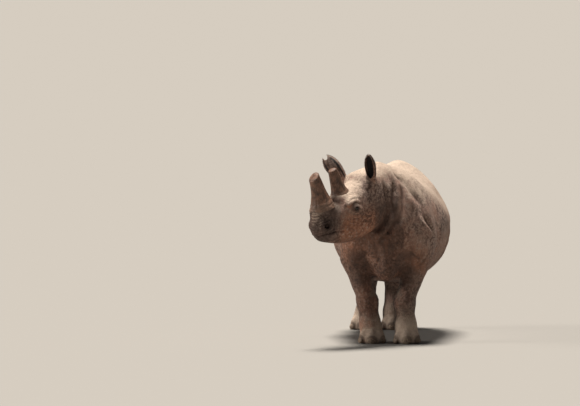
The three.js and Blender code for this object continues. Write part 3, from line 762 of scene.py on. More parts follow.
FOLDS = [
    # round the neck, behind the cheek
    fold(
        22, 30, 13, (-60, -905, 1420), (-12, -935, 1292), (6, -915, 1180),
        (-20, -890, 1070), (-77, -878, 971), (-190, -900, 905),
    ),
    fold(
        22, 22, 14, (12, -830, 1420), (46, -857, 1315), (40, -872, 1200),
        (44, -876, 1050), (-20, -860, 930), (-130, -870, 850),
    ),
    fold(22, 16, 12, (70, -760, 1360), (104, -790, 1220), (76, -810, 1060), (20, -830, 930)),
    fold(
        22, 15, 9, (-330, -860, 1330), (-352, -830, 1200), (-330, -830, 1060), (-270, -860, 940)
    ),
    fold(20, 9, 6, (-290, -770, 1330), (-330, -740, 1210), (-318, -740, 1080)),
    # over the shoulder, from the withers down to the elbow
    fold(
        28, 20, 18, (25, -710, 1483), (75, -762, 1411), (176, -761, 1293), (260, -742, 1192),
        (319, -741, 1066), (377, -666, 918), (392, -560, 800),
    ),
    fold(24, 7, 6, (-180, -700, 1330), (-290, -690, 1180), (-350, -660, 1010), (-380, -580, 850)),
    # behind the shoulder and the elbow
    fold(
        34, 16, 14, (330, -250, 1190), (430, -310, 1080), (448, -330, 930), (400, -300, 790),
        both=True,
    ),
    fold(24, 9, 6, (410, -380, 800), (390, -300, 700), (330, -240, 610), both=True),
    # before the forelegs, at the chest
    fold(24, 8, 6, (150, -790, 800), (215, -770, 745), (280, -730, 720), both=True),
    # beside the chest's keel, from the throat down to between the forelegs
    fold(26, 16, 12, (60, -900, 880), (50, -870, 800), (20, -800, 700), (-6, -700, 590)),
    fold(26, 16, 12, (-150, -880, 880), (-110, -860, 800), (-60, -800, 700), (-30, -700, 590)),
    # across the outside of the elbow
    fold(22, 6, 5, (360, -640, 760), (385, -540, 735), (370, -440, 745), both=True),
    # the flank's folds, from the belly up before the thigh
    fold(
        34, 15, 11, (300, 300, 540), (410, 270, 660), (450, 300, 820), (455, 360, 960), both=True
    ),
    fold(30, 8, 7, (380, 170, 620), (440, 150, 760), (470, 190, 880), both=True),
    # across the thigh and down beside the tail
    fold(
        34, 9, 8, (410, 600, 1040), (420, 700, 900), (380, 790, 760), (300, 840, 620), both=True
    ),
    fold(
        24, 10, 7, (150, 985, 1150), (210, 960, 1000), (200, 950, 830), (140, 930, 700), both=True
    ),
    fold(26, 7, 6, (330, 560, 640), (350, 650, 600), (300, 760, 560), both=True),
    # the mouth
    fold(7, 17, 6, *MOUTH, head=True),
    # round the eye
    fold(6, 6, 3, (-66, 150, 12), (-24, 150, 38), (26, 145, 36), (66, 140, 4), head=True),
    fold(7, 5, 3, (-72, 150, -30), (-26, 150, -62), (26, 145, -56), (60, 130, -30), head=True),
    fold(8, 4, 3, (-96, 150, -54), (-34, 150, -96), (30, 140, -90), (88, 120, -60), head=True),
    fold(9, 5, 4, (-92, 150, 40), (-40, 140, 74), (26, 130, 70), (92, 118, 26), head=True),
    # over the cheek
    fold(12, 5, 4, (-150, 150, 110), (-96, 160, 60), (-78, 160, 4), (-104, 160, -40), head=True),
    # behind the nostril
    fold(9, 5, 9, (286, 96, -48), (258, 100, -76), (252, 100, -112), (270, 98, -142), head=True),
    fold(9, 5, 4, (230, 96, -44), (214, 104, -98), (230, 100, -150), head=True),
    # from the mouth's corner back along the jaw
    fold(9, 6, 4, (84, 116, -158), (44, 130, -172), (14, 138, -204), head=True),
]

# Soft forms of bone and muscle: where, how far round they reach and how far they stand out.
SWELLS = [
    ((390, -240, 1120), 150, -13),  # behind the shoulder
    ((250, -520, 1330), 90, 13),  # shoulder blade
    ((380, -500, 860), 120, 12),  # upper arm
    ((440, 250, 1190), 150, -15),  # hollow of the flank
    ((380, 430, 1260), 90, 12),  # hip
    ((400, 620, 960), 190, 10),  # thigh
    ((400, 440, 690), 110, 13),  # stifle
    ((330, 840, 900), 130, 9),  # buttock
]

# Rings of wrinkles: the line they go round, how far apart they lie, how deep they cut and
# how far past the line's start they go on.
RINGS = [
    (leg[top], leg[end], apart, deep, over)
    for legs, top, end, apart, deep, over in (
        ("fore", "wrist", "fetlock", 29, 3.4, 60),
        ("fore", "elbow", "wrist", 47, 3.6, 20),
        ("hind", "hock", "fetlock", 29, 3.4, 60),
    )
    for leg in LEGS[legs].values()
]


def nearest_on(route, p):
    """Where a row of straight links comes nearest to points: how far off it is, on which
    way, the share of the row that lies behind it and the way that it runs there."""
    best, offset = np.full(len(p), 1e9), np.zeros((len(p), 3))
    share, way = np.zeros(len(p)), np.zeros((len(p), 3))
    for i, (a, b) in enumerate(zip(route, route[1:])):
        along = b - a
        t = np.clip((p - a) @ along / (along @ along), 0, 1)
        off = p - a - t[:, None] * along
        away = np.linalg.norm(off, axis=1)
        closer = away < best
        best[closer], offset[closer] = away[closer], off[closer]
        share[closer], way[closer] = (i + t[closer]) / (len(route) - 1), unit(along)
    return best, offset, share, way


def smoothed(field, route, many=28):
    """A route's points joined by a smooth curve and laid on a field's surface."""
    at = np.arange(len(route))
    t = np.linspace(0, at[-1], many)
    return settled(field, np.stack([curve(at, c)(t) for c in route.T], 1), 4)


def fold_depth(p, out, route, side, wide, deep, lip):
    """How far a fold moves the skin at a distance s from its route: -deep e^-(s/wide)^2,
    with a high roll on one side of it and a low one on the other, all of it fading
    towards the route's ends. Gives the valley too."""
    reach = wide * 5
    near = ((p > route.min(0) - reach) & (p < route.max(0) + reach)).all(-1)
    moved, valley = np.zeros(len(p)), np.zeros(len(p))
    s, offset, share, way = nearest_on(route, p[near])
    beside = side * (np.cross(way, out[near]) * offset).sum(1) / np.maximum(s, 1)
    fade = eased(np.minimum(share, 1 - share), 0, 0.22)
    fade *= 0.45 + 0.55 * eased(noise(p[near], 5 * wide, 21), -0.6, 0.3)
    roll = bell(s - 1.9 * wide, 1.3 * wide) * (0.65 + 0.35 * beside)
    moved[near] = (lip * roll - deep * bell(s, wide)) * fade
    valley[near] = bell(s, 0.6 * wide) * fade
    return moved, valley


def ring_depth(p, a, b, apart, deep, over):
    """Wrinkles round a limb from a to b: cuts at whole numbers of the place along it,
    waved by noise."""
    a, b = np.array(a, float), np.array(b, float)
    long, along = np.linalg.norm(b - a), unit(b - a)
    t = (p - a) @ along
    away = np.linalg.norm(p - a - t[:, None] * along, axis=1)
    cut = cuts(t / apart + 0.8 * noise(p, 110, 31) + 0.4 * noise(p, 45, 32))
    weight = within(t, -over, long + 20, 40) * (1 - eased(away, 4 * apart, 4 * apart + 40))
    weight *= 0.15 + 0.85 * eased(noise(p, 80, 33), -0.35, 0.5)
    return -deep * cut * weight, cut * weight


def folds_over(field, points, q, out):
    """How far each fold moves the points, and its valley. The points are waved by noise
    first, so that no fold runs smooth."""
    waved = points + 17 * np.stack([noise(points, 150, seed) for seed in (81, 82, 83)], 1)
    waved_head = on_left(q) + 4 * np.stack([noise(q, 42, seed) for seed in (84, 85, 86)], 1)
    out_head = (out @ HEAD_AXES) * ((1, 0, 1) + np.sign(q[:, 1:2]) * (0, 1, 0))
    for made in FOLDS:
        sizes = made["wide"], made["deep"], made["lip"]
        if made["head"]:
            line = smoothed(lambda p: field(from_head(p)), made["route"])
            yield fold_depth(waved_head, out_head, line, 1, *sizes)
            continue
        for side in (1, -1) if made["both"] else (1,):
            line = smoothed(field, made["route"] * (side, 1, 1))
            yield fold_depth(waved, out, line, side, *sizes)


def unevenness(points, q):
    """Slow and quick bumps all over, and the ribs: waves along the flank."""
    moved = head_calm(q) * (3.0 * rough_noise(points, 150, 5) + 1.2 * noise(points, 30, 9))
    place = (points[:, 1] + 0.3 * (points[:, 2] - 950)) / 82 + 0.5 * noise(points, 240, 34)
    ribs = within(points[:, 1], -220, 280, 140) * within(points[:, 2], 780, 1230, 140)
    ribs = ribs * eased(noise(points, 170, 35), -0.4, 0.4)
    return moved + 1.5 * np.sin(2 * np.pi * place) * ribs


def creased(field, points):
    """Moves the skin's points in and out for folds, muscles, rings of wrinkles and
    unevenness. Gives the points, how deep in a valley each of them lies, from 0 to 1,
    and the way out of the skin."""
    out, q = unit(slope_of(field, points)[1]), to_head(points)
    moved, valley = np.zeros(len(points)), np.zeros(len(points))
    for step, cut in folds_over(field, points, q, out):
        moved, valley = moved + step, np.maximum(valley, cut)
    for middle, reach, high in SWELLS:
        for side in (-1, 1):
            at = settled(field, np.array([middle], float) * (side, 1, 1), 4)
            moved += high * np.exp(-(((points - at) / reach) ** 2).sum(1))
    wrinkles = [ring_depth(points, *ring) for ring in RINGS]
    for step, cut in (*wrinkles, muzzle_wrinkles(q), neck_wrinkles(points, q)):
        moved, valley = moved + step, np.maximum(valley, 0.5 * cut)
    moved = (moved + unevenness(points, q)) * eased(points[:, 2], 2, 14)
    return points + out * moved[:, None], np.clip(valley, 0, 1), out


def head_calm(q):
    """How much of the skin's unevenness holds: little of it round eyes and on ears."""
    from_eye = np.linalg.norm(on_left(q) - EYE["at"], axis=1)
    calm = 0.25 + 0.75 * eased(from_eye, 45, 110)
    return np.where((q[:, 2] > 230) & (q[:, 0] > -420), 0.3 * calm, calm)


def muzzle_wrinkles(q):
    """Wrinkles over the front of the muzzle, 21 mm apart, and across its sides and the
    crown, 27 mm apart."""
    x, y, z = on_left(q).T
    wave = 0.5 * noise(q, 60, 41) + 0.25 * noise(q, 25, 42)
    front = 2.2 * eased(x, 200, 300) * within(z, -160, -10, 20)
    side = within(x, 90, 220, 40) * within(z, -150, 10, 40)
    crown = within(x, -200, -40, 40) * eased(z, 60, 130)
    cut = cuts(z / 21 + x / 60 + wave) * front
    across = cuts(x / 27 - z / 55 + 0.004 * y * y / 27 + wave)
    cut = cut + across * (0.8 * side + 0.7 * crown)
    return -3.0 * cut, np.minimum(cut, 1)


def neck_wrinkles(p, q):
    """Wrinkles round the neck, 46 mm apart along it, waved by noise."""
    wave = 0.7 * noise(p, 160, 51) + 0.3 * noise(p, 60, 52)
    weight = within(q[:, 0], -640, -260, 60) * within(q[:, 2], -420, 330, 40)
    weight *= 0.3 + 0.7 * eased(noise(p, 110, 53), -0.4, 0.5)
    cut = cuts(q[:, 0] / 46 + wave) * weight
    return -4.5 * cut, cut


# ------------------------------------------------------------------ meshes


def piece(name, points, faces, material, slot, nodes=(), **attributes):
    """A smooth mesh object in metres, riding the body, that stands for CAD nodes.
    Attributes are one number for each point."""
    mesh = bpy.data.meshes.new(name)
    mesh.from_pydata(np.asarray(points).tolist(), [], [f for part in faces for f in part.tolist()])
    mesh.validate()
    for title, values in attributes.items():
        layer = mesh.attributes.new(title, "FLOAT", "POINT")
        layer.data.foreach_set("value", np.asarray(values, np.float32))
    mesh.shade_smooth()
    mesh.materials.append(material)
    made = bpy.data.objects.new(name, mesh)
    bpy.context.scene.collection.objects.link(made)
    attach(made, "root")
    if nodes:
        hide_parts(*nodes)
    return made


def placed(points):
    """Millimetres of the form's frame as metres of the frame that the nodes stand in."""
    return (points + TO_MIDDLE) * MM


def grid_faces(rows, columns):
    """Faces of a grid of points, row by row, closed round its columns."""
    i, j = np.indices((rows - 1, columns)).reshape(2, -1)
    k = (j + 1) % columns
    a, b = i * columns, (i + 1) * columns
    return np.stack([a + j, a + k, b + k, b + j], 1)


def capped(rings):
    """The points and faces of a stack of rings, closed by a point at each end. Rings run
    counterclockwise as seen from the last one's side."""
    rows, columns, _ = rings.shape
    points = np.concatenate([rings.reshape(-1, 3), rings[:1].mean(1), rings[-1:].mean(1)])
    j = np.arange(columns)
    k, last = (j + 1) % columns, (rows - 1) * columns
    low = np.stack([np.full(columns, rows * columns), k, j], 1)
    high = np.stack([np.full(columns, rows * columns + 1), last + j, last + k], 1)
    return points, (grid_faces(rows, columns), low, high)


def with_ends(values, first, last):
    """One number for each point of capped rings: the rings' and then the two ends'."""
    return np.append(values.ravel(), [first, last])


# ------------------------------------------------------------------ materials


class Value:
    """A shader's number in an expression: each operator adds a Math node."""

    def __init__(self, paint, socket):
        self.paint, self.socket = paint, socket

    def made(self, operation, a, b):
        """The Math node of an operation on two numbers."""
        return self.paint.node("ShaderNodeMath", {"operation": operation}, {0: a, 1: b})

    def __add__(self, other):
        return self.made("ADD", self, other)

    def __sub__(self, other):
        return self.made("SUBTRACT", self, other)

    def __rsub__(self, other):
        return self.made("SUBTRACT", other, self)

    def __mul__(self, other):
        return self.made("MULTIPLY", self, other)

    __radd__, __rmul__ = __add__, __mul__


class Paint:
    """A material in the making: its nodes, and the shader that they feed."""

    def __init__(self, name, **settings):
        self.material = bpy.data.materials.new(name)
        self.material.use_nodes = True
        self.tree = self.material.node_tree
        self.shader = self.tree.nodes["Principled BSDF"]
        for title, value in settings.items():
            self.shader.inputs[title.replace("_", " ")].default_value = value

    def feed(self, socket, value):
        """Links a socket to a Value, or sets it to a number, a colour or a vector."""
        if isinstance(value, Value):
            self.tree.links.new(value.socket, socket)
        elif hasattr(socket.default_value, "__len__") and len(socket.default_value) == 4:
            socket.default_value = (*value, 1.0)[:4]
        else:
            socket.default_value = value

    def node(self, kind, settings=None, inputs=None, output=0):
        """One node: its settings first, then its sockets, by name or number."""
        node = self.tree.nodes.new(kind)
        for title, value in (settings or {}).items():
            setattr(node, title, value)
        for title, value in (inputs or {}).items():
            self.feed(node.inputs[title], value)
        return Value(self, node.outputs[output])

    def place(self, scale=(1, 1, 1), waved=0.0, size=6.0):
        """Object coordinates, stretched by a scale and pushed about by noise."""
        place = self.node("ShaderNodeTexCoord", output="Object")
        if waved:
            push = self.node(
                "ShaderNodeTexNoise", None, {"Vector": place, "Scale": size}, "Color"
            )
            push = self.vector("SUBTRACT", push, (0.5, 0.5, 0.5))
            place = self.vector("ADD", place, self.vector("MULTIPLY", push, (waved,) * 3))
        return self.vector("MULTIPLY", place, scale)

    def vector(self, operation, a, b):
        """The Vector Math node of an operation on two vectors."""
        return self.node("ShaderNodeVectorMath", {"operation": operation}, {0: a, 1: b})

    def noise(self, place, scale, detail=3.0, rough=0.55):
        """Noise about one half, so many times to the metre."""
        sockets = {"Vector": place, "Scale": scale, "Detail": detail, "Roughness": rough}
        return self.node("ShaderNodeTexNoise", None, sockets)

    def cracks(self, place, scale, wide):
        """One on the edges of a net of cells, falling to nought a share of a cell away."""
        edge = self.node(
            "ShaderNodeTexVoronoi",
            {"feature": "DISTANCE_TO_EDGE"},
            {"Vector": place, "Scale": scale},
        )
        return self.ease(edge, wide, 0.0)

    def ease(self, value, low, high, to_low=0.0, to_high=1.0):
        """From one number at low to another at high, easing in and out."""
        sockets = {0: value, 1: low, 2: high, 3: to_low, 4: to_high}
        return self.node("ShaderNodeMapRange", {"interpolation_type": "SMOOTHSTEP"}, sockets)

    def attribute(self, title):
        """A number that the mesh holds for each of its points."""
        return self.node("ShaderNodeAttribute", {"attribute_name": title}, None, "Fac")

    def mix(self, share, a, b):
        """A colour from a to b."""
        sockets = {0: share, 6: a, 7: b}
        return self.node("ShaderNodeMix", {"data_type": "RGBA"}, sockets, 2)

    def coated(self, color, *coats):
        """A colour under coats of others, each given as its share and its colour."""
        for share, over in coats:
            color = self.mix(share, color, over)
        return color

    def bump(self, height, distance):
        """A normal tilted by a height, in metres where the height is one."""
        return self.node("ShaderNodeBump", None, {"Height": height, "Distance": distance})

    def finish(self, **sockets):
        """The material, once these sockets of its shader are fed."""
        for title, value in sockets.items():
            self.feed(self.shader.inputs[title.replace("_", " ")], value)
        return self.material


def hide_material(hide):
    """Dry wrinkled skin. Patches of clay and grey lie under rubs, painted red bounce light,
    dark streaks, dark and pale specks, dust with painted light on what faces up, the dark of
    muzzle and lips with painted shade round the eyes and under the body, cracks in two sizes
    with painted shade in them, and painted shade in the folds and deep in the ear cups. Its
    height is mottling and streaks, less specks and cracks, and the ear cups have no cracks."""
    paint = Paint("hide", Specular_IOR_Level=0.28)
    valley, dust, dark, red_bounce, cup = (
        paint.attribute(title) for title in ("valley", "dust", "dark", "red_bounce", "cup")
    )
    place = paint.place(waved=0.05, size=9.0)
    large = paint.noise(paint.place(), 2.6, 4.0)
    mottled = paint.noise(place, 14.0, 5.0, 0.62)
    specks = paint.noise(place, 46.0, 3.0, 0.6)
    fine = paint.noise(place, 190.0, 3.0)
    streaks = paint.noise(paint.place((1.0, 1.0, 0.22), 0.12, 5.0), 34.0, 4.0, 0.6)
    plain = 1 - cup
    net = paint.cracks(paint.place(waved=0.09, size=14.0), 46.0, 0.13) * plain
    small_net = paint.cracks(paint.place(waved=0.03, size=40.0), 120.0, 0.16) * plain
    blotched = paint.ease(large + 0.4 * mottled, 0.52, 0.80)
    patchy = paint.ease(mottled, 0.2, 0.6, 0.7, 1.0)
    # dust, with painted light on what faces up, on the feet, round the eyes and on the muzzle's
    # ridges
    dusty_and_lit = paint.ease(dust + 0.9 * mottled + 0.4 * streaks, 0.75, 1.5) * 0.85
    cracked = net * paint.ease(mottled, 0.4, 0.6, 0.1, 0.6) + small_net * 0.25
    color = paint.coated(
        paint.mix(paint.ease(large, 0.35, 0.65), hide.clay, hide.grey),
        (paint.ease(mottled, 0.42, 0.66) * 0.6, hide.pale),
        # painted red bounce light from the ground
        (red_bounce * patchy, hide.red_bounce),
        (paint.ease(streaks, 0.47, 0.63) * 0.45, hide.deep),
        (paint.ease(specks, 0.47, 0.59) * blotched * 0.9, hide.deep),
        (paint.ease(specks, 0.47, 0.34) * 0.5, hide.pale),
        # dust and painted light
        (dusty_and_lit, hide.dust),
        # the dark of muzzle and ears, and painted shade round eyes, nostrils and toenails, on
        # belly, armpits, chest pits, legs and throat
        (dark * patchy, hide.dark),
        # painted shade at the bottom of the cracks
        (cracked * 0.5, hide.deep),
        # painted shade in the valleys of folds and wrinkles
        (paint.ease(valley, 0.1, 0.9) * 0.75, hide.deep),
        # painted shade deep in the ear cups
        (cup, hide.cup),
    )
    height = mottled * 1.3 + streaks * 1.1 - specks * 0.6 + fine * 0.12
    height = height - net * paint.ease(mottled, 0.4, 0.6, 0.08, 0.3) - small_net * 0.1
    return paint.finish(
        Base_Color=color,
        Roughness=paint.ease(dusty_and_lit, 0.0, 1.0, 0.66, 0.9),
        Normal=paint.bump(height, hide.relief * MM),
    )


def horn_material(horn):
    """Keratin in dark and brown patches with paler fibres along the horn, pale at its
    frayed foot and dark in its grooves."""
    paint = Paint("horn", Specular_IOR_Level=0.4)
    fibres = paint.noise(paint.place((1.0, 1.0, 0.07), 0.01, 20.0), 240.0, 4.0, 0.6)
    patches = paint.noise(paint.place(waved=0.03), 26.0, 4.0)
    root, groove = paint.attribute("root"), paint.attribute("groove")
    color = paint.coated(
        paint.mix(paint.ease(patches, 0.35, 0.7), horn.dark, horn.brown),
        (paint.ease(fibres, 0.45, 0.75) * 0.6, horn.pale),
        (root * 0.5, horn.base),
        (groove * 0.7, horn.dark),
    )
    return paint.finish(
        Base_Color=color,
        Roughness=paint.ease(fibres, 0.3, 0.8, 0.42, 0.7),
        Normal=paint.bump(fibres * 0.6 + patches * 0.2 - groove, 0.0035),
    )


def nail_material(nail):
    """Dull patchy keratin with growth lines across it and a dusty lower edge."""
    paint = Paint("toenail", Specular_IOR_Level=0.35)
    lines = paint.noise(paint.place((0.12, 0.12, 1.0), 0.01, 30.0), 260.0, 2.0)
    patches = paint.noise(paint.place(waved=0.02), 60.0, 4.0)
    color = paint.coated(
        paint.mix(paint.ease(patches, 0.3, 0.7), nail.brown, nail.pale),
        (paint.ease(lines, 0.5, 0.75) * 0.4, nail.dark),
        (paint.attribute("edge") * 0.6, nail.pale),
    )
    return paint.finish(
        Base_Color=color,
        Roughness=paint.ease(patches, 0.3, 0.8, 0.5, 0.75),
        Normal=paint.bump(lines * 0.6 + patches * 0.5, 0.002),
    )


def eye_material(eye):
    """A black pupil in a dark brown iris with fine spokes, under a wet gloss."""
    paint = Paint("eye", Roughness=0.1, Specular_IOR_Level=0.4)
    angle, spokes = paint.attribute("angle"), paint.attribute("spokes")
    streaky = paint.noise(paint.place(), 420.0, 2.0)
    iris = paint.mix(paint.ease(spokes + streaky, 0.7, 1.3), eye.iris, eye.rim)
    color = paint.mix(paint.ease(angle, 0.27, 0.33), eye.pupil, iris)
    color = paint.mix(paint.ease(angle, 0.62, 0.72), color, eye.white)
    return paint.finish(Base_Color=color)


def bristle_material(name, root, tip):
    """Coarse hair, from one colour at its root to another at its tip."""
    paint = Paint(name, Roughness=0.62, Specular_IOR_Level=0.35)
    along, shade = paint.attribute("along"), paint.attribute("shade")
    color = paint.mix(paint.ease(along, 0.0, 1.0), root, tip)
    return paint.finish(Base_Color=paint.mix(shade * 0.5, color, root))


# ------------------------------------------------------------------ the pieces

FLESH = ["head", "lower_jaw", "neck", "trunk", "tail", "ear_left", "ear_right"]
FLESH += [f"{part}_{end}_{side}" for part in ("leg", "foot") for end in LEGS for side in SIDES]


def shade_in_cup(q):
    """One deep in an ear's cup, where the shade is painted, in the head's frame, and nought outside
    it.
    """
    shade = np.zeros(len(q))
    for ear in EARS.values():
        axes, root = ear_axes(ear), np.array(ear["root"], float)
        ahead, side, along = ((q - root) @ axes.T).T
        t = along / ear["length"] + EAR["sunk"]
        half, deep = leaf(ear, np.clip(t, 0, 1))
        ahead = ahead - EAR["bow"] * t * t
        across = 1 - (np.abs(side) / np.maximum(half - EAR["thick"] * 0.8, 1)) ** 2
        inside = eased(across, 0.0, 0.25) * within(t, 0.16, 0.9, 0.06)
        inside *= eased(ahead, -deep + EAR["thick"] * 0.35, -deep + EAR["thick"] * 0.9)
        shade = np.maximum(shade, inside * (1 - eased(ahead, deep * 0.2, deep * 0.75)))
    return shade


def on_ears(q):
    """One on the ears, in the head's frame, and nought away from them."""
    lines = (ear_line(ear, 0.35) for ear in EARS.values())
    return np.maximum.reduce([1 - eased(nearest_on(line, q)[0], 55, 90) for line in lines])


def dust_and_light_on(points, out, q):
    """Dust and painted light: paler on what faces up and near the floor, partly dust and partly
    painted light from above and on the feet, dust in patches, a painted highlight round the
    eye's rim, with less of it on the ears."""
    # paler on what faces up: dust, and painted light from above
    dust = 0.75 * eased(out[:, 2], 0.05, 0.85)
    # paler near the floor: dust, and painted light on the feet
    dust += 0.65 * (1 - eased(points[:, 2] + 70 * noise(points, 120, 63), 50, 300))
    dust += 0.25 * eased(noise(points, 260, 61), 0.0, 0.7)
    dust *= 1 - 0.6 * on_ears(q)
    # a pale ring round the eye: a painted highlight on the lids
    return dust + 0.15 * within(np.linalg.norm(on_left(q) - EYE["at"], axis=1), 50, 74, 20)


def dark_and_shade_on(points, out, q, muzzle):
    """Dark muzzle and ears, and painted shade round the eyes and nostrils, on the belly where it
    faces down, in the armpits, on the legs and on the throat under the head.
    """
    x, _, z = on_left(q).T
    height = points[:, 2]
    # painted shade on the belly, where it faces down
    belly_shade = eased(-out[:, 2], 0.25, 0.8) * within(height, 300, 900, 80)
    # painted shade in the armpits, between the forelegs under the chest
    armpit_shade = within(height, 420, 760, 90) * (1 - eased(np.abs(points[:, 0]), 60, 190))
    # painted shade on the legs below the body
    leg_shade = (1 - eased(height, 640, 860)) * eased(height, 130, 300)
    # painted shade on the throat, under the head
    throat_shade = within(x, -430, -220, 60) * (1 - eased(z, -60, 90))
    throat_shade *= 1 - eased(points[:, 1], -860, -740)
    return np.maximum.reduce(
        [
            0.85 * muzzle,
            # painted shade on the lids round the eye
            0.9 * near_to(on_left(q), EYE["at"], 31, 56),
            # painted shade round the nostril
            near_to(on_left(q), NOSTRIL["at"], 36, 62),
            0.55 * belly_shade,
            0.4 * armpit_shade,
            0.5 * leg_shade,
            0.7 * throat_shade,
            0.45 * on_ears(q),
        ]
    )


def lit_ridges(points, q, valley):
    """One on the ridges between the wrinkles in front of the nostrils, in patches: where a
    highlight is painted.
    """
    x, _, z = q.T
    lit_ridge = eased(x, 230, 300) * within(z, -150, 10, 20) * (1 - eased(valley, 0.02, 0.3))
    lit_ridge *= 1 - eased(near_to(on_left(q), NOSTRIL["at"], 36, 62), 0.0, 0.3)
    return lit_ridge * (0.25 + 0.75 * eased(noise(points, 55, 62), -0.4, 0.4))


def shades(points, out, valley):
    """How much dust and painted light, dark and painted shade, painted red bounce light and
    painted shade deep in an ear's cup each point gets, each from 0 to 1, and up to 1.2 for
    the dust and light. The ridges of the muzzle's wrinkles get a painted highlight: more of
    the dust and light and less dark. Painted shade lies in the pits between chest and
    forelegs and round each toenail as well. The red bounce light is painted on what faces
    down, on the chest and on the cheeks."""
    q = to_head(points)
    x, _, z = q.T
    height, front = points[:, 2], 1 - eased(points[:, 1], -600, -300)
    muzzle = eased(x + 0.35 * z, 50, 210)
    # a painted highlight on the ridges of the muzzle's wrinkles: paler and less dark
    lit_ridge = lit_ridges(points, q, valley)
    dust = dust_and_light_on(points, out, q) + 0.6 * lit_ridge

    # painted shade in the pits between chest and forelegs
    beside = np.abs(points[:, 0] + 55)
    pit_shade = eased(beside - 0.4 * (height - 540), 5, 70) * (1 - eased(beside, 240, 340))
    pit_shade *= within(height, 520, 740, 130) * eased(-out[:, 1], 0.0, 0.5) * front
    # painted shade in the groove round each toenail
    nail_shade = [0.65 * near_to(points, nail_place(*nail), 38, 58) for nail in NAILS]
    dark = dark_and_shade_on(points, out, q, muzzle) * (1 - 0.75 * lit_ridge)
    dark = np.maximum.reduce([dark, 0.8 * pit_shade, *nail_shade])

    # painted red light bounced from the ground: on what faces down, on the chest and on the cheeks
    under = eased(-out[:, 2], -0.15, 0.6) * eased(height, 350, 600)
    ahead = eased(-out[:, 1], 0.1, 0.8) * within(height, 350, 900, 200) * front
    middle = 1 - eased(np.abs(points[:, 0] + 60), 120, 330)
    cheek = within(x, -190, 110, 120) * (1 - eased(z, -120, 40))
    red_bounce = np.maximum.reduce([0.8 * under, 0.75 * ahead * middle, 0.85 * cheek]) * (1 - muzzle)
    return {
        "dust": np.clip(dust, 0, 1.2),
        "dark": np.clip(dark, 0, 1),
        "red_bounce": np.clip(red_bounce, 0, 1),
        # painted shade deep in the ear cups
        "cup": shade_in_cup(q),
    }


def make_skin(hide):
    """Nets the body's field, creases it and paints it."""
    field = body_form()
    points, quads, triangles = net_over(field, NET_LOW, NET_HIGH, NET_CELL, fineness)
    points = evened(field, points, quads)
    points, valley, out = creased(field, points)
    paints = shades(points, out, valley)
    faces, material = (quads, triangles), hide_material(hide)
    piece("skin", placed(points), faces, material, "hide", FLESH, valley=valley, **paints)


def horn_rings(horn, rows=88, columns=72, top_rows=12):
    """Ovals along a bowed line, with fibres as fine ridges and a frayed, ringed foot: the
    radius at t and angle is the oval's, times 1 + ridges that fade upwards. Past the share
    `blunt_at` of its length the ovals shrink as a quarter circle does."""
    blunt_at = 0.95
    a, b = np.array(horn["root"], float), np.array(horn["top"], float)
    middle = (a + b) / 2 + (horn["bow"], 0, 0)
    end = blunt_at + (1 - blunt_at) * np.sin(np.linspace(0.05, 1, top_rows) * np.pi / 2)
    t = np.concatenate([np.linspace(0, blunt_at, rows - top_rows), end])
    s = t[:, None]
    line = (1 - s) ** 2 * a + 2 * s * (1 - s) * middle + s * s * b
    along = unit(2 * (1 - s) * (middle - a) + 2 * s * (b - middle))
    across = np.array((0.0, 1.0, 0.0))
    ahead = unit(np.cross(across, along))
    at, long, wide = np.array(horn["rings"], float).T
    blunt = np.sqrt(np.clip(1 - ((t - blunt_at) / 0.0502).clip(0, 1) ** 2, 0.02, 1))
    long, wide = curve(at, long)(t) * blunt, curve(at, wide)(t) * blunt
    angle = np.linspace(0, 2 * np.pi, columns, endpoint=False)
    cos, sin = np.cos(angle), np.sin(angle)
    place = np.stack(np.broadcast_arrays(cos * 60, sin * 60, s * 900), -1).reshape(-1, 3)
    fibres = noise(place * (1, 1, 0.05), 9, 71).reshape(len(t), columns)
    flakes = rough_noise(place * (1, 1, 0.3), 34, 73).reshape(len(t), columns)
    steps = np.abs(np.sin(np.pi * (s * 9 + 0.5 * flakes)))
    rough = 0.018 * fibres + 0.03 * flakes
    rough = rough + (1 - eased(s, 0.04, 0.42)) * (0.035 * fibres - 0.05 * (1 - steps) ** 2)
    swell = 1 + rough * eased(s, 0.0, 0.06)
    ring = line[:, None] + (cos * swell * long[:, None])[..., None] * ahead[:, None]
    ring = ring + (sin * swell * wide[:, None])[..., None] * across
    worn = horn["slant"] * cos * np.sqrt(blunt)[:, None] * s**2
    ring = ring - worn[..., None] * along[:, None]
    groove = np.clip(eased(-fibres, 0.15, 0.8), 0, 1) * (1 - 0.5 * s)
    root = np.broadcast_to(1 - eased(s, 0.05, 0.4), groove.shape)
    return ring[:, ::-1], groove[:, ::-1], root


def make_horn(name, material):
    """One horn over its CAD node, sunk a little in the skin at its foot. Its rings run
    clockwise, so its faces are turned round."""
    rings, groove, root = horn_rings(HORNS[name])
    points, faces = capped(rings)
    piece(
        f"horn_{name}_keratin",
        placed(from_head(points)),
        [f[:, ::-1] for f in faces],
        material,
        "horn",
        [f"horn_{name}"],
        groove=with_ends(groove, groove[0].mean(), groove[-1].mean()),
        root=with_ends(root, root[0].mean(), root[-1].mean()),
    )


